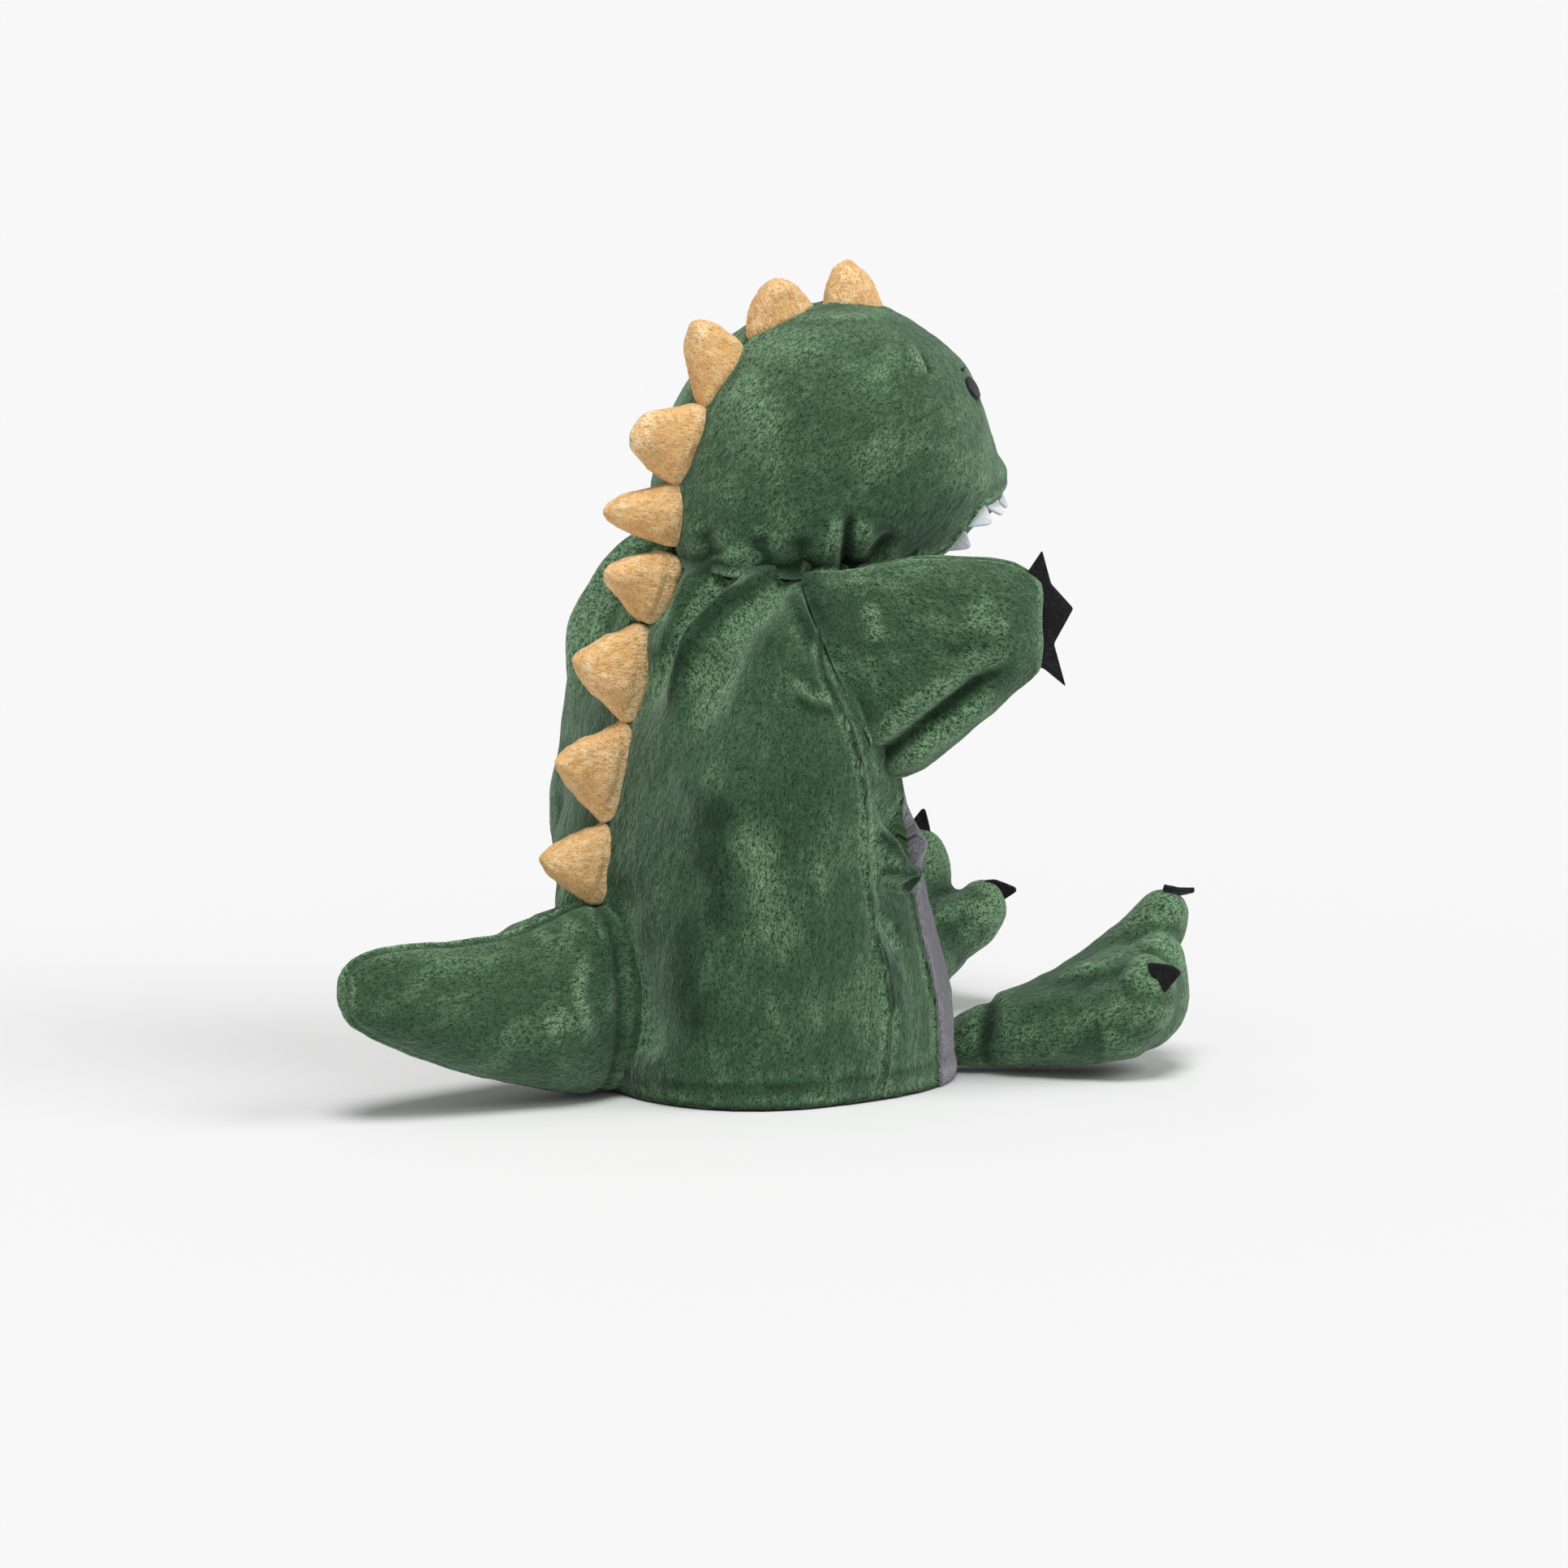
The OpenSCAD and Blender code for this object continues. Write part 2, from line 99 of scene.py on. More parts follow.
def set_studio():
    mesh = bpy.data.meshes.new("floor")
    corners = [(x * FLOOR_HALF, y * FLOOR_HALF, 0) for x, y in ((-1, -1), (1, -1), (1, 1), (-1, 1))]
    mesh.from_pydata(corners, [], [(0, 1, 2, 3)])
    floor = bpy.data.objects.new("floor", mesh)
    floor.location.z = -FLOOR_DROP
    bpy.context.scene.collection.objects.link(floor)
    paper = bpy.data.materials.new("paper_floor")
    paper.use_nodes = True
    shader = paper.node_tree.nodes["Principled BSDF"]
    shader.inputs["Base Color"].default_value = (PAPER, PAPER, PAPER, 1)
    shader.inputs["Roughness"].default_value = 1
    shader.inputs["Specular IOR Level"].default_value = 0
    mesh.materials.append(paper)

    world = bpy.data.worlds.new("studio")
    world.use_nodes = True
    tree = world.node_tree
    seen, glow = tree.nodes["Background"], tree.nodes.new("ShaderNodeBackground")
    for node in (seen, glow):
        node.inputs["Color"].default_value = (BACKDROP, BACKDROP, BACKDROP, 1)
    glow.inputs["Strength"].default_value = GLOW
    path, mix = tree.nodes.new("ShaderNodeLightPath"), tree.nodes.new("ShaderNodeMixShader")
    for source, target in ((path.outputs["Is Camera Ray"], mix.inputs["Fac"]),
                           (glow.outputs[0], mix.inputs[1]), (seen.outputs[0], mix.inputs[2]),
                           (mix.outputs[0], tree.nodes["World Output"].inputs["Surface"])):
        tree.links.new(source, target)
    bpy.context.scene.world = world
    bpy.context.scene.view_settings.view_transform = "Standard"

    sun("key", (-0.55, 0.35, 1.9), 2.1, 25)
    sun("front", (-0.75, -0.75, 0.9), 1.1, 35)


# ---- numbers and noise

def curve(xs, ys, x):
    """A smooth line through the points (xs, ys), read at x."""
    xs, ys = np.asarray(xs, float), np.asarray(ys, float)
    slope = np.gradient(ys, xs)
    x = np.clip(x, xs[0], xs[-1])
    i = np.clip(np.searchsorted(xs, x) - 1, 0, len(xs) - 2)
    h = xs[i + 1] - xs[i]
    t = (x - xs[i]) / h
    return ((2 * t**3 - 3 * t**2 + 1) * ys[i] + (t**3 - 2 * t**2 + t) * h * slope[i]
            + (3 * t**2 - 2 * t**3) * ys[i + 1] + (t**3 - t**2) * h * slope[i + 1])


def ease(a, b, x):
    t = np.clip((x - a) / (b - a), 0, 1)
    return t * t * (3 - 2 * t)


def hump(x, at, width):
    return np.exp(-((x - at) / width) ** 2)


def lattice(i, j, k, seed):
    n = (i * 374761393 + j * 668265263 + k * 1274126177 + seed * 974634777) & 0xFFFFFFFF
    n = ((n ^ (n >> 13)) * 1103515245) & 0xFFFFFFFF
    n = ((n ^ (n >> 16)) * 2246822519) & 0xFFFFFFFF
    return ((n ^ (n >> 15)) & 0xFFFF) / 32767.5 - 1


def lumps(points, cell, seed):
    """Smooth noise from -1 to 1 with lumps about cell mm across."""
    q = np.asarray(points) / cell
    base = np.floor(q).astype(np.int64)
    f = q - base
    f = f * f * (3 - 2 * f)
    total = 0
    for corner in itertools.product((0, 1), repeat=3):
        w = np.prod([f[:, c] if step else 1 - f[:, c] for c, step in enumerate(corner)], axis=0)
        total = total + w * lattice(*(base + corner).T, seed)
    return total


def side_plane(p):
    """Where points fall on the plane of a three-quarter side view: along, height, and towards it."""
    c, s = math.cos(VIEW_ANGLE), math.sin(VIEW_ANGLE)
    x = np.abs(p[:, 0])
    along = s * x - c * p[:, 1]
    near = c * x + s * p[:, 1]
    return along, p[:, 2] * math.cos(TILT) - near * math.sin(TILT), near


def line_distance(u, v, line):
    """Distance from each point to a bent line, and the share of the line's length at the nearest place."""
    best = np.full(len(u), 1e9)
    share = np.zeros(len(u))
    line = np.asarray(line, float)
    lengths = np.hypot(*(line[1:] - line[:-1]).T)
    total, run = lengths.sum(), 0.0
    for a, b, length in zip(line[:-1], line[1:], lengths):
        d = (b - a) / length
        t = np.clip((u - a[0]) * d[0] + (v - a[1]) * d[1], 0, length)
        dist = np.hypot(u - a[0] - d[0] * t, v - a[1] - d[1] * t)
        closer = dist < best
        best = np.where(closer, dist, best)
        share = np.where(closer, (run + t) / total, share)
        run += length
    return best, share


def fold(u, v, line, width, height, start=0.3, end=0.3):
    """A soft ridge (or a valley, below zero) along a bent line, dying out over a share of each end."""
    d, share = line_distance(u, v, line)
    return height * hump(d, 0, width) * ease(0, start, share + 0.001) * ease(0, end, 1.001 - share)


# ---- meshes

def add_object(name, points, faces, material):
    mesh = bpy.data.meshes.new(name)
    mesh.from_pydata(to_metres(points).tolist(), [], faces)
    mesh.materials.append(material)
    mesh.shade_smooth()
    thing = bpy.data.objects.new(name, mesh)
    bpy.context.scene.collection.objects.link(thing)
    return thing


def grid_faces(rows, cols, closed, start=0):
    i, j = np.meshgrid(np.arange(rows - 1), np.arange(cols if closed else cols - 1), indexing="ij")
    k = (j + 1) % cols
    quads = np.stack([i * cols + j, i * cols + k, (i + 1) * cols + k, (i + 1) * cols + j], -1)
    return (quads.reshape(-1, 4) + start).tolist()


def grid_object(name, grid, material, closed=False, caps=(False, False)):
    """A mesh from a grid of points [row][column], its columns joined up if closed."""
    rows, cols = grid.shape[:2]
    points = grid.reshape(-1, 3)
    faces = grid_faces(rows, cols, closed)
    for wanted, row in zip(caps, (0, rows - 1)):
        if wanted:
            points = np.vstack([points, grid[row].mean(axis=0)])
            hub = len(points) - 1
            ring = [row * cols + j for j in range(cols)]
            faces += [(hub, b, a) if row == 0 else (hub, a, b) for a, b in zip(ring, ring[1:] + ring[:1])]
    return add_object(name, points, faces, material)


def read_points(thing):
    mesh = thing.data
    co = np.empty(len(mesh.vertices) * 3)
    mesh.vertices.foreach_get("co", co)
    return co.reshape(-1, 3) * 1000 - CENTRE


def read_normals(thing):
    no = np.empty(len(thing.data.vertices) * 3, dtype=np.float32)
    thing.data.vertex_normals.foreach_get("vector", no)
    return no.reshape(-1, 3).astype(float)


def write_points(thing, points):
    thing.data.vertices.foreach_set("co", to_metres(points).ravel())
    thing.data.update()


def relaxed(values, edges, rounds):
    """Values averaged with their neighbours along the edges, several times over."""
    size = len(values)
    count = np.maximum(np.bincount(edges.ravel(), minlength=size).astype(float), 1)[:, None]
    for _ in range(rounds):
        total = np.zeros_like(values)
        for a, b in ((0, 1), (1, 0)):
            for c in range(values.shape[1]):
                total[:, c] += np.bincount(edges[:, a], weights=values[edges[:, b], c], minlength=size)
        values = 0.5 * values + 0.5 * total / count
    return values


def painted_spots(p, light_marks):
    """Spots of painted light and painted shade: how much lighter or darker the pile is painted, each spot
    given as (along, height, reach, reach, how much).
    """
    u, v, near = side_plane(p)
    total = sum(by * np.exp(-((u - a) / wide) ** 2 - ((v - b) / high) ** 2)
                for a, b, wide, high, by in light_marks)
    return total * ease(-10, 15, near)


def give_pile(thing, lie, depth=0.22, clump=2.4, seed=1, moved=0.0, light_marks=()):
    """Raises the pile's clumps on a smooth form, and stores where the pile lies and its painted light:
    painted highlight on crests, painted shade in hollows.

    lie is the direction that the pile is brushed in. moved is a further push along the normal, in mm.
    moved also paints light: raised folds are painted lighter, sunk folds painted darker. The last argument
    adds spots of painted light and painted shade.
    """
    p, n = read_points(thing), read_normals(thing)
    lie = np.asarray(lie, float) / np.linalg.norm(lie)
    along = (p @ lie)[:, None] * lie
    pile = (p - along) + along * 0.5
    push = depth * (0.6 * lumps(pile, clump, seed) + 0.4 * lumps(pile, clump * 0.5, seed + 7)) + moved
    p = p + n * push[:, None]
    write_points(thing, p)
    edges = np.empty(len(thing.data.edges) * 2, dtype=np.int32)
    thing.data.edges.foreach_get("vertices", edges)
    edges = edges.reshape(-1, 2)
    soft = relaxed(p, edges, 14)
    # Painted light from the relief: points that stand out from the smoothed form are painted lighter, points
    # in hollows painted darker.
    painted_light = ((p - soft) * read_normals(thing)).sum(axis=1, keepdims=True)
    painted_light = relaxed(painted_light, edges, 2)[:, 0]
    store(thing, "pile", pile * 0.1, "FLOAT_VECTOR")
    # Painted light from the folds: raised folds painted lighter, sunk folds painted darker.
    painted_fold_light = np.clip(moved * 0.09, -0.35, 0.4)
    store(thing, "painted_light", np.clip(0.5 + painted_light * 1.2 + painted_fold_light + painted_spots(p, light_marks), 0, 1), "FLOAT")


def store(thing, name, values, kind):
    layer = thing.data.attributes.new(name, kind, "POINT")
    layer.data.foreach_set("vector" if kind == "FLOAT_VECTOR" else "value",
                           np.asarray(values, np.float32).ravel())


def felt_piece(name, outline, thick, place, material, bow=0.0):
    """A flat piece cut from felt: outline in mm on its own plane, set by place(across, up, out)."""
    line = np.asarray(outline, float)
    dense = []
    for a, b in zip(line, np.roll(line, -1, axis=0)):
        steps = max(2, int(np.hypot(*(b - a)) / 0.7))
        dense += [a + (b - a) * k / steps for k in range(steps)]
    dense = np.array(dense)
    middle = line.mean(axis=0)
    rings = []
    for share in (1.0, 0.93, 0.7, 0.35):
        ring = middle + (dense - middle) * share
        if share == 1.0:
            ring = 0.5 * ring + 0.25 * (np.roll(ring, 1, axis=0) + np.roll(ring, -1, axis=0))
        rings.append(ring)
    front, back = ([np.column_stack([r, np.full(len(r), face * (thick / 2 - (0.25 if k == 0 else 0)))])
                    for k, r in enumerate(rings)] for face in (1, -1))
    grid = np.array(front[::-1] + back)
    size = np.abs(line - middle).max()
    grid[..., 2] += bow * ((grid[..., 1] - middle[1]) / size) ** 2
    flat = grid.reshape(-1, 3)
    flat[:, 2] += lumps(flat, 1.1, 5) * 0.12
    points = place(flat[:, 0], flat[:, 1], flat[:, 2]).reshape(grid.shape)
    return grid_object(name, points, material, closed=True, caps=(True, True))


def trim(thing, body, node):
    """A small stiff piece that goes with one body."""
    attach(thing, body)
    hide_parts(node)


def stuffed(thing, slot, fill, *nodes):
    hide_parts(*nodes)


# ---- materials

MATERIAL_OUTPUTS = [("Color", "NodeSocketColor"), ("Height", "NodeSocketFloat"),
                    ("Roughness", "NodeSocketFloat")]


def group(name, inputs, outputs):
    tree = bpy.data.node_groups.new(name, "ShaderNodeTree")
    for label, kind, value in inputs:
        socket = tree.interface.new_socket(label, in_out="INPUT", socket_type=kind)
        if value is not None:
            socket.default_value = value
    for label, kind in outputs:
        tree.interface.new_socket(label, in_out="OUTPUT", socket_type=kind)
    return tree, tree.nodes.new("NodeGroupInput").outputs, tree.nodes.new("NodeGroupOutput").inputs


def noise_node(tree, vector, scale, detail=3, rough=0.55):
    node = tree.nodes.new("ShaderNodeTexNoise")
    node.inputs["Detail"].default_value = detail
    node.inputs["Roughness"].default_value = rough
    if isinstance(scale, (int, float)):
        node.inputs["Scale"].default_value = scale
    else:
        tree.links.new(scale, node.inputs["Scale"])
    tree.links.new(vector, node.inputs["Vector"])
    return node.outputs["Fac"]


def ramp_node(tree, value, low, high):
    node = tree.nodes.new("ShaderNodeMapRange")
    node.interpolation_type = "SMOOTHSTEP"
    node.inputs["From Min"].default_value = low
    node.inputs["From Max"].default_value = high
    tree.links.new(value, node.inputs["Value"])
    return node.outputs["Result"]


def math_node(tree, kind, a, b):
    node = tree.nodes.new("ShaderNodeMath")
    node.operation = kind
    for socket, value in zip(node.inputs, (a, b)):
        if isinstance(value, (int, float)):
            socket.default_value = value
        else:
            tree.links.new(value, socket)
    return node.outputs[0]


def mix_node(tree, share, a, b):
    node = tree.nodes.new("ShaderNodeMix")
    node.data_type = "RGBA"
    for socket, value in zip((node.inputs[0], node.inputs[6], node.inputs[7]), (share, a, b)):
        if isinstance(value, (int, float, tuple)):
            socket.default_value = value
        else:
            tree.links.new(value, socket)
    return node.outputs[2]


def attribute_node(tree, name, output):
    node = tree.nodes.new("ShaderNodeAttribute")
    node.attribute_name = name
    return node.outputs[output]


def make_pile_group():
    """Brushed pile: fibres in tip and root tones with random strokes, plus a painted highlight of the tip
    colour on crests and painted shade of the root colour in hollows.
    """
    tree, i, o = group("brushed_pile", [
        ("Where", "NodeSocketVector", None), ("Painted Light", "NodeSocketFloat", 0.5),
        ("Tip And Highlight", "NodeSocketColor", (1, 1, 1, 1)), ("Body", "NodeSocketColor", (0.5, 0.5, 0.5, 1)),
        ("Root And Shade", "NodeSocketColor", (0.1, 0.1, 0.1, 1)), ("Fibre Scale", "NodeSocketFloat", 16.0),
        ("Stroke Scale", "NodeSocketFloat", 0.5)], MATERIAL_OUTPUTS)

    def times(a, b):
        return math_node(tree, "MULTIPLY", a, b)

    def plus(a, b):
        return math_node(tree, "ADD", a, b)
    fibres = noise_node(tree, i["Where"], i["Fibre Scale"], 2, 0.6)
    clumps = noise_node(tree, i["Where"], times(i["Fibre Scale"], 0.42), 2)
    waves = noise_node(tree, i["Where"], times(i["Fibre Scale"], 0.15), 2)
    strokes = noise_node(tree, i["Where"], i["Stroke Scale"], 3, 0.6)
    height = plus(times(fibres, 0.6), times(clumps, 0.4))
    colour = mix_node(tree, ramp_node(tree, height, 0.30, 0.51), i["Root And Shade"], i["Body"])
    # lit: random strokes and waves, plus a painted highlight in the tip colour on crests.
    lit = plus(times(ramp_node(tree, strokes, 0.45, 0.70), 0.48),
               times(ramp_node(tree, i["Painted Light"], 0.50, 1.0), 0.8))
    lit = plus(lit, times(ramp_node(tree, waves, 0.45, 0.7), 0.15))
    lit = times(plus(lit, 0.13), ramp_node(tree, height, 0.38, 0.66))
    colour = mix_node(tree, lit, colour, i["Tip And Highlight"])
    # Painted shade: the root colour painted into hollows and valleys.
    shade = ramp_node(tree, i["Painted Light"], 0.48, 0.0)
    colour = mix_node(tree, times(shade, 0.6), colour, i["Root And Shade"])
    tree.links.new(colour, o["Color"])
    tree.links.new(plus(height, times(waves, 1.4)), o["Height"])
    tree.links.new(plus(times(fibres, 0.2), 0.72), o["Roughness"])
    return tree


def make_felt_group():
    """Pressed felt: matted fibres in two tones."""
    tree, i, o = group("pressed_felt", [
        ("Where", "NodeSocketVector", None), ("Colour", "NodeSocketColor", (0.5, 0.5, 0.5, 1)),
        ("Fleck", "NodeSocketColor", (0.6, 0.6, 0.6, 1)),
        ("Scale", "NodeSocketFloat", 900.0)], MATERIAL_OUTPUTS)
    matt = noise_node(tree, i["Where"], i["Scale"], 5, 0.7)
    cloud = noise_node(tree, i["Where"], math_node(tree, "MULTIPLY", i["Scale"], 0.12), 3)
    share = math_node(tree, "MULTIPLY", ramp_node(tree, matt, 0.4, 0.75), ramp_node(tree, cloud, 0.2, 0.8))
    tree.links.new(mix_node(tree, share, i["Colour"], i["Fleck"]), o["Color"])
    tree.links.new(matt, o["Height"])
    tree.links.new(math_node(tree, "ADD", math_node(tree, "MULTIPLY", cloud, 0.15), 0.8), o["Roughness"])
    return tree


def finish_material(name, tree_group, fill, bump, sheen, sheen_tint):
    material = bpy.data.materials.new(name)
    material.use_nodes = True
    tree = material.node_tree
    shader = tree.nodes["Principled BSDF"]
    for label, value in (("Specular IOR Level", 0.12), ("Sheen Weight", sheen), ("Sheen Roughness", 0.36),
                         ("Sheen Tint", sheen_tint)):
        shader.inputs[label].default_value = value
    node, relief = tree.nodes.new("ShaderNodeGroup"), tree.nodes.new("ShaderNodeBump")
    node.node_tree = tree_group
    fill(tree, node)
    relief.inputs["Strength"].default_value = 1.0
    relief.inputs["Distance"].default_value = bump
    for source, target in ((node.outputs["Color"], shader.inputs["Base Color"]),
                           (node.outputs["Roughness"], shader.inputs["Roughness"]),
                           (node.outputs["Height"], relief.inputs["Height"]),
                           (relief.outputs["Normal"], shader.inputs["Normal"])):
        tree.links.new(source, target)
    return material


def plush(name, tip, body, root, fibre=25.0, stroke=0.6, bump=0.0009, sheen=0.45,
          sheen_tint=(0.70, 0.90, 0.72, 1)):
    def fill(tree, node):
        tree.links.new(attribute_node(tree, "pile", "Vector"), node.inputs["Where"])
        tree.links.new(attribute_node(tree, "painted_light", "Fac"), node.inputs["Painted Light"])
        for label, colour in (("Tip And Highlight", tip), ("Body", body), ("Root And Shade", root)):
            node.inputs[label].default_value = colour + (1,)
        node.inputs["Fibre Scale"].default_value = fibre
        node.inputs["Stroke Scale"].default_value = stroke
    return finish_material(name, PILE, fill, bump, sheen, sheen_tint)


def felt(name, colour, fleck, scale=900.0, bump=0.0004, sheen=0.2):
    def fill(tree, node):
        where = tree.nodes.new("ShaderNodeTexCoord")
        tree.links.new(where.outputs["Object"], node.inputs["Where"])
        node.inputs["Colour"].default_value = colour + (1,)
        node.inputs["Fleck"].default_value = fleck + (1,)
        node.inputs["Scale"].default_value = scale
    return finish_material(name, FELT, fill, bump, sheen, (1, 1, 1, 1))


set_camera()
set_studio()
PILE = make_pile_group()
FELT = make_felt_group()
# The tip colour of each plush doubles as its painted highlight, and the root colour as its painted shade.
green = plush("green_plush", (0.235, 0.40, 0.225), (0.035, 0.082, 0.038), (0.007, 0.021, 0.009))
tan = plush("tan_plush", (0.97, 0.76, 0.48), (0.80, 0.46, 0.18), (0.58, 0.30, 0.10), fibre=18.0, stroke=1.2,
            bump=0.0010, sheen=0.3, sheen_tint=(1, 0.85, 0.6, 1))
grey = plush("grey_plush", (0.36, 0.35, 0.38), (0.17, 0.163, 0.185), (0.05, 0.05, 0.055),
             sheen_tint=(0.9, 0.9, 1, 1))
black_felt = felt("black_felt", (0.012, 0.012, 0.013), (0.05, 0.046, 0.046))
eye_felt = felt("eye_felt", (0.016, 0.016, 0.022), (0.07, 0.065, 0.08))
white_felt = felt("white_felt", (0.70, 0.74, 0.78), (0.92, 0.93, 0.95))
red_felt = felt("mouth_felt", (0.15, 0.018, 0.02), (0.27, 0.05, 0.05))
lining_cloth = felt("lining_cloth", (0.03, 0.07, 0.045), (0.07, 0.13, 0.09), 500.0)
board_stuff = felt("mouth_board", (0.35, 0.33, 0.30), (0.45, 0.43, 0.40), 300.0)


# ---- body

BODY = np.array([  # height, half width, half depth, middle
    [0, 62, 60, 1], [25, 65, 60, 4], [60, 69, 56, 9.5], [85, 72.5, 50, 12], [110, 75, 43, 13.5],
    [135, 70.5, 37.3, 14.7], [152, 60, 35, 14], [163, 51, 33, 10], [173, 44, 31, 4.5]])


def body_ring(z, angles, inset=0.0):
    half_w, half_d, middle = (float(curve(BODY[:, 0], BODY[:, k], z)) for k in (1, 2, 3))
    power = 2 / np.interp(z, [30, 60], [2.5, 2.2])
    c, s = np.cos(angles), np.sin(angles)
    x = (half_w - inset) * np.sign(c) * np.abs(c) ** power
    y = middle + (half_d - inset) * np.sign(s) * np.abs(s) ** power
    return np.column_stack([x, y, np.full(len(x), z)])


def even_arc(ring, count):
    """The same line with its points spaced evenly."""
    run = np.concatenate([[0], np.cumsum(np.linalg.norm(np.diff(ring, axis=0), axis=1))])
    at = np.linspace(0, run[-1], count)
    return np.column_stack([np.interp(at, run, ring[:, k]) for k in range(3)])


# Ridges and valleys of the body's cloth on the plane of a three-quarter side view
BODY_FOLDS = [
    ([(-29, 171), (-34, 150), (-40, 128), (-42, 105)], 5.0, 3.4, 0.02, 0.5),
    ([(-19, 171), (-27, 158), (-36, 138), (-39, 118)], 3.4, -3.8, 0.02, 0.5),
    ([(-10, 169), (-19, 158), (-28, 146), (-35, 128), (-38, 108)], 4.6, 5.6, 0.02, 0.5),
    ([(4, 168), (-4, 160), (-12, 153), (-21, 143), (-28, 130), (-33, 112)], 3.0, -7.0, 0.02, 0.5),
    ([(10, 169), (3, 158), (-5, 148), (-14, 131), (-21, 115), (-25, 98)], 6.5, 5.6, 0.02, 0.5),
    ([(9, 160), (13, 148), (19, 138)], 2.8, -4.2),
    ([(18, 168), (17, 155), (20, 140), (25, 122)], 3.0, 2.2, 0.05, 0.4),
    ([(-30, 100), (-18, 88), (-4, 82)], 5.5, -1.5),
    ([(-36, 92), (-20, 72), (-2, 66)], 6.5, -1.7),
    ([(8, 130), (16, 124), (26, 122)], 2.2, 1.0), ([(8, 124), (16, 119), (27, 117)], 2.0, -1.0),
    ([(-46, 66), (-46, 44), (-43, 22), (-38, 2)], 5.5, 4.6, 0.2, 0.1),
    ([(-24, 62), (-26, 36), (-18, 4)], 9.0, -2.6),
    ([(-36, 52), (-38, 26), (-28, 4)], 7.0, 3.0),
    ([(-4, 92), (0, 60), (6, 30)], 11.0, 2.8),
    ([(-18, 100), (-14, 70), (-12, 40)], 8.0, -2.6),
    ([(35, 94), (42, 85), (48, 74), (50, 66)], 3.4, 5.0),
    ([(37, 82), (44, 71), (48, 60)], 2.6, -5.0),
    ([(38, 67), (45, 66), (51, 68)], 1.5, -3.0),
    ([(38, 62), (46, 61), (52, 62)], 2.4, 2.6),
    ([(36, 52), (42, 48), (46, 38)], 3.0, 2.4), ([(37, 44), (43, 32), (44, 16)], 3.0, -2.0),
    ([(2, 18), (18, 14), (34, 17)], 6.0, -1.0)]


# Spots of painted light and painted shade on the body, on the side plane: along, height, reach, reach, how
# much lighter (darker below zero).
BODY_PAINTED_LIGHT = [(-46, 62, 11, 55, -0.34), (-3, 146, 10, 12, -0.16), (43, 76, 5, 14, 0.5),
                (41, 18, 6, 12, 0.3), (-8, 112, 12, 20, 0.12), (10, 40, 9, 26, 0.14), (-14, 58, 8, 20, -0.12)]


def body_push(p):
    u, v, near = side_plane(p)
    z = p[:, 2]
    angle = np.arctan2((p[:, 1] - 8) / 0.8, np.abs(p[:, 0]))
    push = sum(fold(u, v, *f) for f in BODY_FOLDS) * ease(-8, 12, near)
    push = np.where(push < 0, push * ease(176, 164, z), push)
    gathers = np.cos(angle * 13 + 2.2 * np.sin(angle * 3)) * 1.6 + np.cos(angle * 22 + 1) * 0.5
    push += gathers * ease(120, 160, z) * ease(22, 8, near) + ease(150, 164, z)
    push += 0.9 * lumps(p, 26, 3) + 0.7 * lumps(p * [1, 1, 0.6], 12, 4)
    push += 0.35 * lumps(p * [1, 1, 2.2], 7, 11) * ease(26, 6, z)
    rolled, stitched = hump(z, 2.5, 2.2), hump(z, 8.5, 1.8)
    hem = 0.8 * rolled - (0.5 + 0.4 * lumps(p, 18, 14)) * stitched
    return push * ease(0, 6, z) + hem + 0.25 * lumps(p, 3.2, 12) * ease(14, 3, z)


def body_panel(name, start, end, material):
    """A body panel from one seam to the next: start and end give the seam's angle at a height."""
    heights = np.concatenate([[6, 2.5, 0.6], np.arange(0, 173.1, ROW), [173.9, 175.2, 175.8, 176]])
    insets = np.concatenate([[3.2, 3.0, 1.6], np.zeros(len(heights) - 7), [0.6, 2, 4.5, 8]])
    widest = 60
    arc = body_ring(widest, np.radians(np.linspace(start(widest), end(widest), 60)))
    width = np.linalg.norm(np.diff(arc, axis=0), axis=1).sum()
    cols = int(width / ROW)
    grid = []
    for z, inset in zip(heights, insets):
        ring = body_ring(z, np.radians(np.linspace(start(z), end(z), 240)), inset)
        ring = even_arc(ring, cols)
        grid.append(np.vstack([ring[:1], ring, ring[-1:]]))
    grid = np.array(grid)
    panel = grid_object(name + "_cloth", grid, material)
    p = read_points(panel)
    shape = grid.shape[:2]
    step = np.linalg.norm(np.diff(grid, axis=1), axis=2)
    run = np.concatenate([np.zeros((shape[0], 1)), np.cumsum(step, axis=1)], axis=1)
    edge = np.minimum(run, run[:, -1:] - run)
    seam = -1.2 * hump(edge, 0, 0.9) + 0.25 * hump(edge, 2.6, 1.6)
    seam[:, 0] -= 3
    seam[:, -1] -= 3
    seam *= ease(2, 12, grid[..., 2]) * (1 + 0.9 * ease(98, 125, grid[..., 2]))
    give_pile(panel, (0.15, 0.1, -1), moved=body_push(p) + seam.ravel(), seed=21, light_marks=BODY_PAINTED_LIGHT)
    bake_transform(panel)
    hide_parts(name)


def side_seam(z):
    """The angle of the seam between the back and side panels, at a height."""
    return float(curve([0, 10, 43, 82, 109, 125, 143, 161, 176], [-5, -5.7, -8.5, -5.6, -4, -1, 4, 1, 7], z))


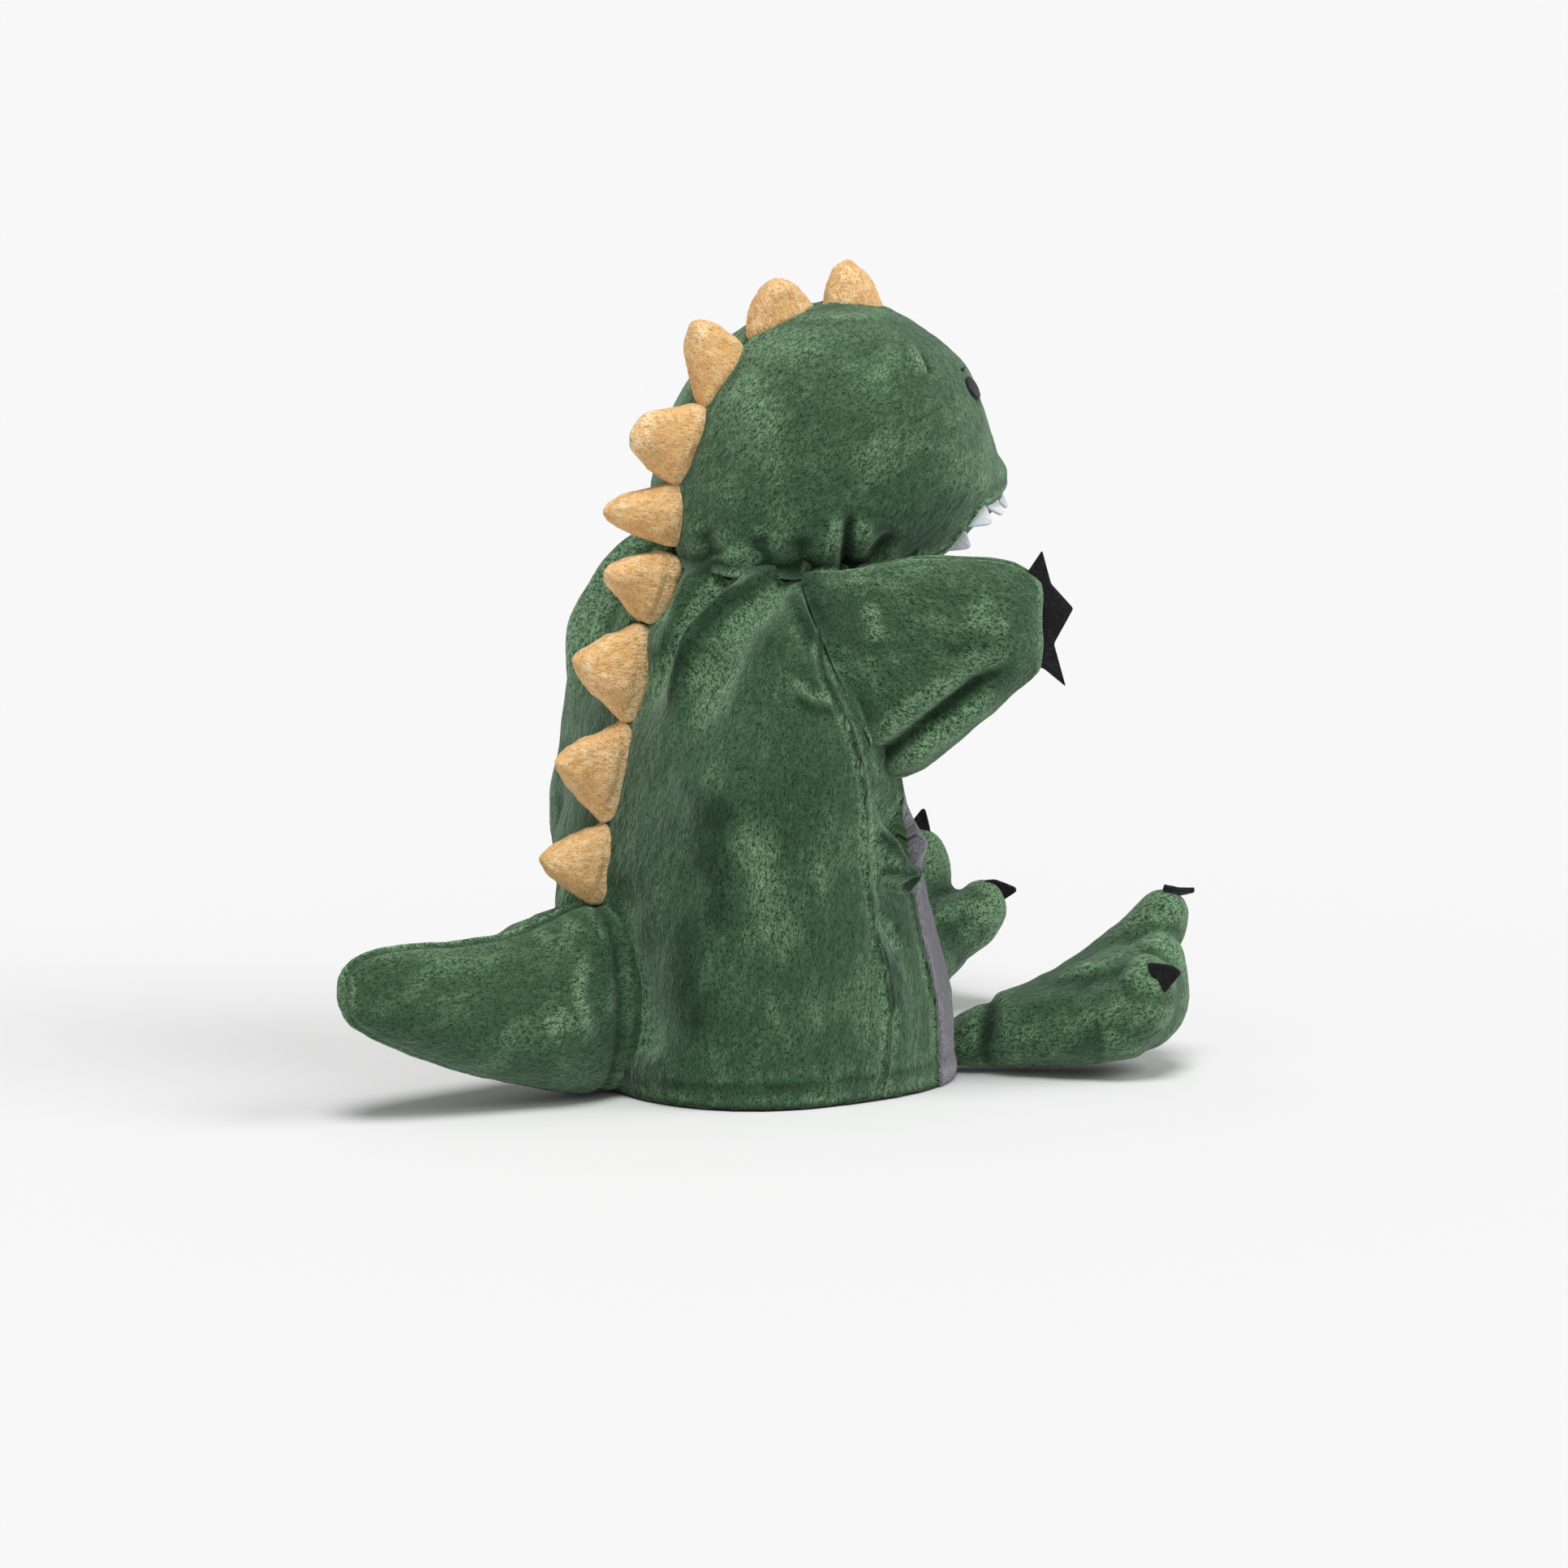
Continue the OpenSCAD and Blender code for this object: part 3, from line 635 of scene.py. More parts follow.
def build_body():
    for side, name in ((1, "left"), (-1, "right")):
        def turned(f):
            return f if side > 0 else (lambda z: 180 - f(z))
        body_panel("back_panel_" + name, turned(side_seam), turned(lambda z: 89.6), green)
        body_panel("side_panel_" + name, turned(lambda z: -30.0), turned(side_seam), green)
    body_panel("belly_panel", lambda z: -150.0, lambda z: -30.0, grey)
    angles = np.linspace(0, 2 * math.pi, 361)[:-1]
    for name, node, low, high, step, inset, slot, material in (
            ("hem_facing_cloth", "hem_facing", 0.4, 14, 1.2, 4.6, "green_plush", green),
            ("sleeve_lining", "body_lining", 13.5, 158, 4, 9.5, "lining", lining_cloth)):
        grid = np.array([body_ring(z, angles, inset + 0.5 * math.sin(z * 0.4))
                         for z in np.arange(low, high, step)])
        cloth = grid_object(name, grid, material, closed=True)
        if slot == "green_plush":
            give_pile(cloth, (0, 0, 1), seed=31)
        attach(cloth, "torso")
        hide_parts(node)


# ---- head

HEAD = np.array([  # height above the neck, half width, front, back
    [0, 42, -70, 33.5], [4, 46, -76, 35], [10, 50.5, -80, 35.3], [17, 53, -83, 34.8],
    [21, 53.8, -84.8, 34.4], [25.5, 54, -86, 33.4], [31, 54, -82, 31.7], [39, 53, -79.5, 29],
    [50, 49.5, -76, 24.2], [61, 42.2, -71.5, 16.7], [67, 36, -65.5, 11], [71, 31, -60.5, 6.5],
    [76.5, 21.5, -51.5, -3], [80, 11.5, -42, -14], [81.2, 4, -33, -24]])
CROWN = 81.2
# The lower edge of the head: degrees from straight ahead, and height above the neck
LIP = ([0, 20, 40, 52, 58, 62, 66, 70, 80, 180], [22.5, 21.5, 19, 17.3, 15, 9.5, 4, 1.5, 1.2, 2])
NECK = 173
UNDER_ROWS = 7
PALATE_REACH, PALATE_RISE = 45.9, 24.4
# Degrees from straight ahead, and height above the neck
EYE, BROW = (48, 54.5), (48.5, 60.5)


def lip_height(angle):
    away = np.abs((np.degrees(angle) + 360) % 360 - 270)
    return NECK + curve(*LIP, np.minimum(away, 360 - away))


def head_points(f, angle, inset=0.0):
    """f runs from the lower edge to the crown; angle goes round, from straight ahead at -90."""
    low = lip_height(angle)
    z = low + (NECK + CROWN - low) * f
    h = z - NECK
    half_w, front, back = (curve(HEAD[:, 0], HEAD[:, k], h) for k in (1, 2, 3))
    c, s = np.cos(angle), np.sin(angle)
    x = (half_w - inset) * np.sign(c) * np.abs(c) ** 0.97
    y = (front + back) / 2 + ((back - front) / 2 - inset) * np.sign(s) * np.abs(s) ** 0.97
    return np.stack([x, y, z - inset * f], -1)


HEAD_FOLDS = [
    ([(28.5, 183), (27.5, 174), (27, 162)], 1.9, -3.6, 0.3, 0.02),
    ([(24, 184), (23, 172), (22, 162)], 3.4, 1.8, 0.3, 0.02),
    ([(33, 182), (33, 172), (32, 162)], 3.6, 2.0, 0.3, 0.02),
    ([(28, 164), (36, 171), (45, 177)], 1.8, -2.2, 0.1, 0.3),
    ([(30, 161), (38, 167), (47, 172)], 2.6, 1.4, 0.1, 0.3),
    ([(50, 242), (53, 235), (56, 228)], 1.3, -2.6, 0.3, 0.2),
    ([(47, 241), (50, 233), (53, 227)], 2.6, 1.4, 0.3, 0.2),
    ([(54, 241), (58, 233)], 2.6, 1.2, 0.3, 0.2),
    ([(-12, 172), (-6, 166), (2, 163)], 4.0, 1.8, 0.3, 0.3),
    ([(-20, 178), (-16, 168)], 3.0, -1.6, 0.3, 0.05),
    ([(-2, 176), (2, 166)], 3.0, -1.8, 0.3, 0.05),
    ([(12, 176), (14, 166)], 3.0, -1.6, 0.3, 0.05),
    ([(2, 205), (20, 212), (34, 206)], 8.0, -0.8, 0.4, 0.4),
    ([(66, 184), (64, 196), (68, 206)], 7.0, 0.9, 0.4, 0.4)]


# Spots of painted light and painted shade on the head: the back and top painted lighter, low by the neck
# painted darker.
HEAD_PAINTED_LIGHT = [(-4, 214, 14, 16, 0.34), (2, 240, 24, 9, 0.3), (62, 206, 9, 10, 0.15),
                (28, 176, 16, 8, -0.15)]


def build_head():
    rows = np.concatenate([np.linspace(0, 0.9, 92)[:-1], np.linspace(0.9, 1, 17)])
    for side, name in ((1, "left"), (-1, "right")):
        angles = np.radians(np.linspace(-90, 90, 190))
        angles = np.concatenate([angles[:1], angles, angles[-1:]])
        away = np.abs(np.degrees(angles) + 90)
        level = np.zeros(len(angles))
        grid = np.array([head_points(f, angles) for f in rows])
        edge = grid[0]
        neck = np.column_stack([43 * np.cos(angles), 3.5 + 29.5 * np.sin(angles), level + 171])
        inner_y = np.clip(edge[:, 1] * 0.955, -80, None)
        share = np.clip((FOLD_Y - inner_y) / PALATE_REACH, 0, 1)
        half = 37.4 + 36.6 * (np.sqrt(1 - (0.985 * share) ** 3.2) - 1)
        inward = np.column_stack([np.minimum(edge[:, 0] * 0.94, half), inner_y, 168.6 + PALATE_RISE * share])
        back = ease(60, 84, away)[:, None]
        target = inward * (1 - back) + neck * back
        under = []
        for k in range(UNDER_ROWS, 0, -1):
            t = k / UNDER_ROWS
            bulge = np.column_stack([edge[:, 0], edge[:, 1] + 27, level])
            bulge = bulge / np.linalg.norm(bulge, axis=1)[:, None] * 1.2 * math.sin(math.pi * t) * back
            under.append(edge * (1 - t) + target * t + bulge - [0, 0, 1.2 * math.sin(math.pi * t)])
        grid = np.concatenate([np.array(under), grid])
        grid[..., 0] *= side
        if side < 0:
            grid = grid[:, ::-1]
        panel = grid_object("head_panel_" + name + "_cloth", grid, green)
        p = read_points(panel)
        u, v, near = side_plane(p)
        push = sum(fold(u, v, *f) for f in HEAD_FOLDS) * ease(0, 14, near)
        push += 0.6 * lumps(p, 24, 41) + 0.3 * lumps(p, 9, 42)
        for place, reach in ((EYE, 6.0), (BROW, 3.0)):
            mark = face_place(*place, side)[0]
            push = push * ease(reach * 0.5, reach * 1.8, np.linalg.norm(p - mark, axis=1))
        gathers = np.cos(np.arctan2(p[:, 1] - 4, np.abs(p[:, 0])) * 15) * 0.35
        push += gathers * ease(192, 176, p[:, 2]) * ease(-30, 0, p[:, 1])
        push -= 1.6 * hump(p[:, 0], 0, 1.1)
        push += 0.5 * hump(np.abs(p[:, 0]), 3.0, 1.8)
        edge_rows = np.abs(np.arange(grid.shape[0]) - UNDER_ROWS)[:, None] + np.zeros(grid.shape[1])
        push += (0.9 * hump(edge_rows.ravel(), 2.5, 2.0)) * (p[:, 1] < -30)
        give_pile(panel, (0, 0.75, -0.6), moved=push, seed=43, light_marks=HEAD_PAINTED_LIGHT)
        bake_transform(panel)
        stuffed(panel, "green_plush", 0.5, "head_panel_" + name, "head_wadding_" + name)


def face_place(away, height, side):
    """A frame on the face's surface: its middle, and the directions across, up and out."""
    angle = math.radians(-90 + away)
    low = float(lip_height(np.array([angle]))[0])
    f = (NECK + height - low) / (NECK + CROWN - low)
    here, beside, above = (head_points(a, np.array([b]))[0] for a, b in
                           ((f, angle), (f, angle + 0.03), (f + 0.02, angle)))
    across = (beside - here) / np.linalg.norm(beside - here)
    out = np.cross(across, above - here)
    out /= np.linalg.norm(out)
    up = np.cross(out, across)
    flip = np.array([side, 1, 1])
    return here * flip, across * flip, up * flip, out * flip


def build_face():
    for side, name in ((1, "left"), (-1, "right")):
        here, across, up, out = face_place(*EYE, side)

        def on_face(a, b, c):
            drop = 0.010 * (a * a + b * b)
            return here + a[:, None] * across + b[:, None] * up + (c - drop + 0.35)[:, None] * out
        turn = np.linspace(0, 2 * math.pi, 40)[:-1]
        half_w, half_h, lean = 4.4, 4.2, 0.22
        oval = np.column_stack([half_w * np.cos(turn) + lean * half_h * np.sin(turn), half_h * np.sin(turn)])
        eye = felt_piece("eye_" + name + "_patch", oval, 1.1, on_face, eye_felt)
        trim(eye, "head", "eye_" + name)
        here, across, up, out = face_place(*BROW, side)
        oval = np.column_stack([1.7 * np.cos(turn), 0.45 * np.sin(turn)])
        stitch = felt_piece("brow_stitch_" + name + "_thread", oval, 0.9, on_face, black_felt)
        trim(stitch, "head", "brow_stitch_" + name)


def build_teeth():
    angles = np.radians(np.linspace(270 - 67, 270 + 67, 600))
    line = head_points(0 * angles, angles, 1.7)
    run = np.concatenate([[0], np.cumsum(np.linalg.norm(np.diff(line, axis=0), axis=1))])
    count = 13
    for k in range(count):
        at = run[-1] * (k + 0.5) / count
        here, before, after = (np.array([np.interp(at + d, run, line[:, c]) for c in range(3)])
                               for d in (0, -2, 2))
        across = (after - before) / np.linalg.norm(after - before)
        inward = np.array([-here[0], -27 - here[1], 0.0])
        inward /= np.linalg.norm(inward)
        down = np.cross(across, inward)
        if down[2] > 0 or (abs(down[2]) < 0.2 and down[1] > 0):
            down = -down
        flare = 0.25 + 0.85 * float(ease(0.35, 0.75, abs(2 * (k + 0.5) / count - 1)))
        down = down / np.linalg.norm(down) - (flare + 0.12 * math.sin(k * 2.3 + 1)) * inward
        down /= np.linalg.norm(down)
        out = np.cross(down, across)
        half = run[-1] / count / 2 + 0.2
        shape = [(-half, -1.6), (half, -1.6), (half * 0.72, 1.6), (0.8, 5.8), (-0.8, 5.8),
                 (-half * 0.72, 1.6)]

        def hung(a, b, c):
            return here + a[:, None] * across + (b + 1.3)[:, None] * down + c[:, None] * out
        tooth = felt_piece("upper_tooth_%d" % (k + 1), shape, 1.1, hung, white_felt, bow=0.6)
        trim(tooth, "head", "upper_teeth")


# ---- mouth

# The lining's length, half width, slope, height at the fold, dome and the lift of its sides
PALATE = (52, 37, 28, 167.9, 2.2, 0.7)
JAW = (43, 34, -6, 166.1, -1.6, -0.9)
FOLD_Y = -35


def build_mouth():
    rows = []
    a = np.linspace(-1, 1, 60)
    for t in np.linspace(0, 1, 60):
        length, half, slope, height, dome, lift = PALATE if t < 0.5 else JAW
        share = abs(1 - 2 * t)
        half = half * math.sqrt(max(1 - (share * 0.985) ** 3.2, 0.0)) * 0.99 + 0.6
        slope = math.radians(slope)
        y = FOLD_Y - length * share * math.cos(slope)
        z = height + length * share * math.sin(slope)
        domed = (1 - a ** 2) * dome * math.sin(math.pi * min(share * 1.1, 1)) * 0.8
        rows.append(np.column_stack([a * half, np.full(60, y), z + domed + lift * a ** 2]))
    grid = np.array(rows)
    lining = grid_object("mouth_lining", grid, red_felt)
    p, n = read_points(lining), read_normals(lining)
    write_points(lining, p + n * (0.35 * lumps(p, 8, 51))[:, None])
    thick = lining.modifiers.new("thickness", "SOLIDIFY")
    thick.thickness = 0.0011
    thick.offset = 0
    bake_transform(lining)
    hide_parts("palate_felt", "jaw_felt")

    angles = np.radians(np.linspace(0, 360, 241)[:-1])
    s = np.sin(angles)
    chin_length = 46
    grid = []
    for f in np.concatenate([np.linspace(-0.42, 0.92, 64), [0.96, 0.985, 1.0]]):
        swell = math.sqrt(max(1 - max(f, 0) ** 3, 0.004))
        half, drop = 36.5 * swell * (1 - 0.25 * max(-f, 0)), 21.5 * swell * (1 + 0.35 * max(-f, 0))
        y = -36 - chin_length * f
        tilt = -math.tan(math.radians(6)) * chin_length * max(f, 0)
        rim = 3.8 * swell * np.abs(s) ** 0.55 * (1 - s)
        z = 162.5 + tilt + np.where(s > 0, rim, -drop * np.abs(s) ** 0.85)
        grid.append(np.column_stack([half * np.cos(angles), np.full(len(angles), y), z]))
    chin = grid_object("chin_cloth", np.array(grid), green, closed=True, caps=(False, True))
    p = read_points(chin)
    push = 0.7 * lumps(p, 16, 52) - 1.2 * hump(p[:, 0], 0, 1.5) * (p[:, 2] < 158)
    give_pile(chin, (0, 1, -0.2), moved=push, seed=53)
    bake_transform(chin)
    stuffed(chin, "green_plush", 0.4, "chin_panel", "chin_wadding")


# ---- arms

ARM_YAW = math.radians(33)
SHOULDER = np.array([62, 2, 0])
ARM_START, ARM_END = -12, 58.5
ARM = np.array([  # along, middle height, half height, half thickness
    [-12, 139.5, 33, 7], [-4, 140.8, 33.8, 10.5], [8, 144, 33.5, 14.5], [20, 149, 30.5, 16],
    [32, 153, 26.5, 16.2], [44, 156.3, 22, 14.5], [52, 157.3, 18.5, 11], [56.5, 157.6, 16, 6.5],
    [58.5, 157.6, 14.6, 2.6]])
# Ridges and valleys of the sleeve on its own outer face: along, height
ARM_FOLDS = [
    ([(-4, 112), (8, 117), (22, 129), (38, 141), (52, 147)], 3.0, -5.2, 0.1, 0.3),
    ([(-4, 119), (8, 125), (22, 137), (38, 148)], 5.0, 2.2, 0.3),
    ([(4, 110), (18, 118), (34, 130), (50, 139)], 4.2, 2.6, 0.25),
    ([(2, 168), (6, 152)], 3.5, 1.2, 0.3),
    ([(30, 166), (42, 160), (50, 160)], 5.0, 1.2, 0.4),
    ([(22, 150), (36, 154), (46, 152)], 4.0, -1.0, 0.4)]


def onto_body(points, share, weight):
    """Draws points towards the body's own surface, at a share of its size, by a weight from 0 to 1."""
    half_w, half_d, middle = (curve(BODY[:, 0], BODY[:, k], points[:, 2]) for k in (1, 2, 3))
    x, y = points[:, 0], points[:, 1] - middle
    size = ((np.abs(x) / half_w) ** 2.2 + (np.abs(y) / half_d) ** 2.2) ** (1 / 2.2)
    on = np.column_stack([x / size * share, middle + y / size * share, points[:, 2]])
    return points * (1 - weight) + on * weight


def build_arms():
    heading = np.array([math.sin(ARM_YAW), -math.cos(ARM_YAW), 0])
    outward = np.array([math.cos(ARM_YAW), math.sin(ARM_YAW), 0])
    for side, name in ((1, "left"), (-1, "right")):
        flip = np.array([side, 1, 1])
        turn = np.linspace(0, 2 * math.pi, 191)[:-1]
        grid = []
        c, q = np.cos(turn), np.sin(turn)
        root = np.interp(140 + 33 * q, [107, 114, 128, 143, 161, 175], [2.5, 0.6, -4.5, -10.2, -12, -15.5])
        for s in np.concatenate([np.arange(ARM_START, 50, 0.9), np.linspace(50, ARM_END, 16)]):
            middle, half_h, half_t = (float(curve(ARM[:, 0], ARM[:, k], s)) for k in (1, 2, 3))
            share = (s - ARM_START) / (ARM_END - ARM_START)
            along = root + (ARM_END - root) * share
            height = middle + half_h * np.sign(q) * np.abs(q) ** 0.85
            ring = (SHOULDER + heading * along[:, None]
                    + outward * (half_t * np.sign(c) * np.abs(c) ** 0.9)[:, None]
                    + np.array([0, 0, 1]) * height[:, None])
            grid.append(onto_body(ring, 0.992, ease(0.2, 0.0, share)) * flip)
        grid = np.array(grid)
        if side < 0:
            grid = grid[:, ::-1]
        arm = grid_object("arm_" + name + "_cloth", grid, green, closed=True, caps=(False, True))
        p = read_points(arm)
        local = p * flip - SHOULDER
        s, t = local @ heading, local @ outward
        push = sum(fold(s, p[:, 2], *f) for f in ARM_FOLDS) * np.where(t > 0, 1, 0.6)
        push += -hump(t, 0, 1.2) + 0.5 * hump(np.abs(t), 3.0, 1.6)
        push *= ease(ARM_START, 0, s)
        push += 0.7 * lumps(p, 20, 61) + 0.3 * lumps(p, 8, 62)
        give_pile(arm, heading * flip + [0, 0, -0.3], moved=push, seed=63)
        root, tip = spot(*((SHOULDER + heading * -2) * flip)), spot(*((SHOULDER + heading * 20) * flip))
        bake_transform(arm)
        stuffed(arm, "green_plush", 0.5, "arm_outer_" + name, "arm_inner_" + name, "arm_wadding_" + name)

        shape = [(-1.5, 144), (1.2, 143.5), (8.5, 137.5), (4.6, 151.5), (10.8, 163), (3.6, 171), (0.6, 182),
                 (-5, 173.5), (-2, 168), (0, 158), (0, 150)]

        def at_hand(a, b, c):
            return (SHOULDER + heading * (57.5 + a)[:, None] + outward * c[:, None]
                    + np.array([0, 0, 1]) * b[:, None]) * flip
        claws = felt_piece("hand_claws_" + name + "_felt", shape, 1.6, at_hand, black_felt, bow=0.8)
        trim(claws, "arm_" + name, "hand_claws_" + name)


# ---- legs

def capsules(name, beads, voxel, material):
    """A soft form grown round chains of beads: each bead is (x, y, z, radius)."""
    points, faces = [], []
    ring, levels = 20, 11
    turn = np.linspace(0, 2 * math.pi, ring + 1)[:-1]
    ball = np.array([(math.cos(e) * math.cos(r), math.cos(e) * math.sin(r), math.sin(e))
                     for e in np.linspace(-math.pi / 2, math.pi / 2, levels) for r in turn])
    for chain in beads:
        for a, b in zip(chain[:-1], chain[1:]):
            a, b = np.asarray(a, float), np.asarray(b, float)
            count = max(2, int(np.linalg.norm(b[:3] - a[:3]) / (0.28 * min(a[3], b[3]) + 0.6)))
            for k in range(count + 1):
                bead = a + (b - a) * k / count
                faces += grid_faces(levels, ring, True, len(points) * len(ball))
                points.append(bead[:3] + bead[3] * ball)
    thing = add_object(name, np.concatenate(points), faces, material)
    for kind, values in (("REMESH", {"mode": "VOXEL", "voxel_size": voxel / 1000, "use_smooth_shade": True}),
                         ("SMOOTH", {"iterations": 9, "factor": 0.6})):
        step = thing.modifiers.new(kind.lower(), kind)
        for key, value in values.items():
            setattr(step, key, value)
    shaped = bpy.data.meshes.new_from_object(thing.evaluated_get(bpy.context.evaluated_depsgraph_get()))
    thing.modifiers.clear()
    thing.data = shaped
    return thing


# Beads of each foot on its own axes: along the leg, to the puppet's right, up, radius
LEG_CHAINS = {
    "right": [
        [(-6, 0, 8.5, 7.5), (4, 0, 11, 10.5), (14, 0, 13.5, 13.3), (28, 0, 15.5, 14.8), (42, 0, 19.5, 18),
         (54, 0, 24, 18.5)],
        [(16, 3, 14, 12.5), (34, 7, 16.5, 14.5), (48, 10, 19.5, 15), (55, 13, 24, 12), (57, 13.5, 30, 9.6),
         (57.5, 13.5, 33, 7.8)],
        [(50, 0, 22, 17), (60, 0, 26, 11.5), (61.5, 0.5, 33, 10.2), (62, 0.5, 37, 8.8)],
        [(20, -4, 16, 12.5), (34, -9, 21, 13.2), (46, -12, 29, 13), (56, -12.5, 38, 11.6),
         (62, -13, 45, 10.2), (64.5, -13, 49.5, 8.6)]],
    "left": [
        [(-6, 0, 10, 8), (8, 0, 14, 12), (22, 0, 18, 15), (36, -1, 22, 16), (54, -3, 27, 15)],
        [(42, 4, 27, 12), (54, 10.5, 31, 11), (58, 12.2, 34, 9.8), (58.5, 12.5, 36.5, 8.5)],
        [(50, -2, 29, 12), (58, -1, 30, 10)],
        [(40, -9, 27, 14), (53, -10.5, 36, 13.5), (58, -12.5, 43, 12), (62, -14.2, 50, 9.6)]]}
# Each claw's base, the way that it points and the way that its base runs, on the same axes, and its width
TOE_CLAWS = {
    "right": [((66.5, -13, 57.6), (1, 0, -0.04), (0, 1, 0.45), 8),
              ((68.5, -4, 38), (0.25, -0.45, -0.85), (0.2, 1, -0.4), 6),
              ((64, 20.6, 35), (-0.8, 0.05, 0.6), (0.55, 0.1, 0.83), 9)],
    "left": [((62, -13.8, 58.6), (0.1, 0.17, 1), (0.5, 0.866, 0), 8),
             ((68.6, -1, 34), (0.1, 0, -1), (0, 1, 0), 6),
             ((60, 16.6, 40.3), (0.5, 0.866, 0.12), (0.25, 0.44, -0.85), 9)]}


def build_legs():
    for name, yaw, hip in (("right", 33, (-38, -58)), ("left", -27, (30, -61))):
        turn = math.radians(yaw)
        hip = np.array([hip[0], hip[1], 0])
        c, q = math.cos(turn), math.sin(turn)
        axes = np.array([[-q, -c, 0], [-c, q, 0], [0, 0, 1]])

        def at_leg(bead):
            return np.concatenate([hip + np.asarray(bead[:3], float) @ axes, bead[3:]])
        beads = [[at_leg(b) for b in chain] for chain in LEG_CHAINS[name]]
        leg = capsules("leg_" + name + "_cloth", beads, 1.5, green)
        p = read_points(leg)
        t, r = (p - hip) @ axes[0], (p - hip) @ axes[1]
        push = 0.8 * lumps(p, 16, 71) + 0.35 * lumps(p, 7, 72)
        sole = 15 + 0.18 * t + 0.2 * r
        push += 1.0 * hump(p[:, 2], sole + 12, 2.2) * ease(58, 30, t) * (r > 4)
        push -= 0.7 * fold(t, p[:, 2], [(40, 22), (42, 12), (41, 2)], 1.2, 1.0, 0.1) * (r > 0)
        push += fold(t, p[:, 2], [(6, 26), (4, 8), (8, 0)], 2.4, -1.6, 0.1)
        # The feet get painted shade: one wide spot paints them darker all over.
        give_pile(leg, axes[0] + [0, 0, 0.5], moved=push * ease(0.2, 4, p[:, 2]), seed=73,
                  light_marks=[(100, 20, 40, 40, -0.22)])
        p = read_points(leg)
        p[:, 2] = np.maximum(p[:, 2], 0.15 + 0.1 * lumps(p, 5, 74))
        write_points(leg, p)
        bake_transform(leg)
        stuffed(leg, "green_plush", 0.6, "foot_upper_" + name, "foot_sole_" + name, "foot_wadding_" + name)
        for k, (base, ahead, wide, width) in enumerate(TOE_CLAWS[name]):
            half = width / 2
            outline = [(-half, -2.5), (half, -2.5), (half * 0.95, 1), (half * 0.6, 4.2), (half * 0.14, 8),
                       (-half * 0.14, 8), (-half * 0.6, 4.2), (-half * 0.95, 1)]
            b = np.asarray(ahead, float) @ axes
            b /= np.linalg.norm(b)
            out = np.cross(np.asarray(wide, float) @ axes, b)
            out /= np.linalg.norm(out)
            a = np.cross(b, out)
            here = at_leg(base)

            def at_toe(across, up, off):
                return here + across[:, None] * a + up[:, None] * b + off[:, None] * out
            claw = felt_piece("toe_claw_%s_%d" % (name, k + 1), outline, 1.6, at_toe, black_felt, bow=0.7)
            trim(claw, "leg_" + name, "toe_claws_" + name)


# ---- tail

TAIL = np.array([  # y, bottom, top, half width
    [56, 0.5, 62, 17], [66, 0.4, 63.5, 18.5], [76, 1.0, 62.5, 20], [88, 3.5, 58.5, 21], [103, 8, 55.5, 20],
    [122, 15, 55.2, 17.5], [136, 21, 56.2, 15], [146, 25.6, 56.2, 12.4], [153.5, 29.8, 54.6, 9.6],
    [158.5, 33.8, 51.8, 6.4], [161, 38, 48.6, 3.4], [161.8, 42, 45, 1]])


def build_tail():
    turn = np.linspace(0, 2 * math.pi, 211)[:-1] + math.pi / 2
    grid = []
    for y in np.concatenate([np.arange(56, 148, 0.9), np.linspace(148, 161.6, 24)]):
        low, high, half = (float(curve(TAIL[:, 0], TAIL[:, k], y)) for k in (1, 2, 3))
        c, q = np.cos(turn), np.sin(turn)
        x = half * np.sign(c) * np.abs(c) ** 0.95
        z = (low + high) / 2 + (high - low) / 2 * np.sign(q) * np.abs(q) ** 0.95
        grid.append(np.column_stack([x, np.full(len(turn), y), z]))
    tail = grid_object("tail_cloth", np.array(grid)[:, ::-1], green, closed=True, caps=(False, True))
    p = read_points(tail)
    middle = curve(TAIL[:, 0], (TAIL[:, 1] + TAIL[:, 2]) / 2, p[:, 1])
    upper = p[:, 2] > middle
    seam = np.where(upper, 0.8, 0.4) * hump(p[:, 0], 0, 1.0) - 0.8 * np.exp(
        -((np.abs(p[:, 0]) - 2.4) / 1.2) ** 2)
    push = seam + 0.9 * lumps(p, 22, 81) + 0.35 * lumps(p, 8, 82)
    push -= 1.2 * hump(p[:, 1], 67, 2.6)
    u, v, _ = side_plane(p)
    push += fold(u, v, [(-57, 50), (-66, 44), (-78, 46)], 5, 1.6) + fold(u, v, [(-60, 20), (-72, 14)], 6, 1.2)
    push += fold(u, v, [(-58, 42), (-60, 24), (-56, 8)], 3.0, 1.6)
    give_pile(tail, (0, 1, -0.2), moved=push, seed=83)
    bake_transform(tail)
    stuffed(tail, "green_plush", 0.7, "tail_panel_left", "tail_panel_right", "tail_wadding")


# ---- crest

# Both ends of each spike's base on the middle line, its tip, how round the tip is, and how it leans aside
CREST = [
    ((-48, 248.5), (-25, 253.5), (-36, 268), 0.8, 1.5), ((-19, 253.5), (5, 246), (-3, 263.5), 0.8, -1.0),
    ((9, 241.5), (24, 222.5), (27, 250.5), 1.0, 1.0), ((22, 223.5), (34.5, 198.5), (53, 218), 0.9, -1.5),
    ((33, 199), (36, 179), (61, 191.5), 0.8, 1.0), ((37, 176), (46.5, 154), (62, 172.5), 0.45, -1.0),
    ((49.5, 153), (54.5, 122), (73, 143.5), 0.12, 1.0), ((54.5, 121.5), (63, 89.5), (82.5, 112), 0.1, -1.2),
    ((62, 89), (67.5, 63), (86, 79.5), 0.22, 0.8)]
HEAD_SPIKES = 5


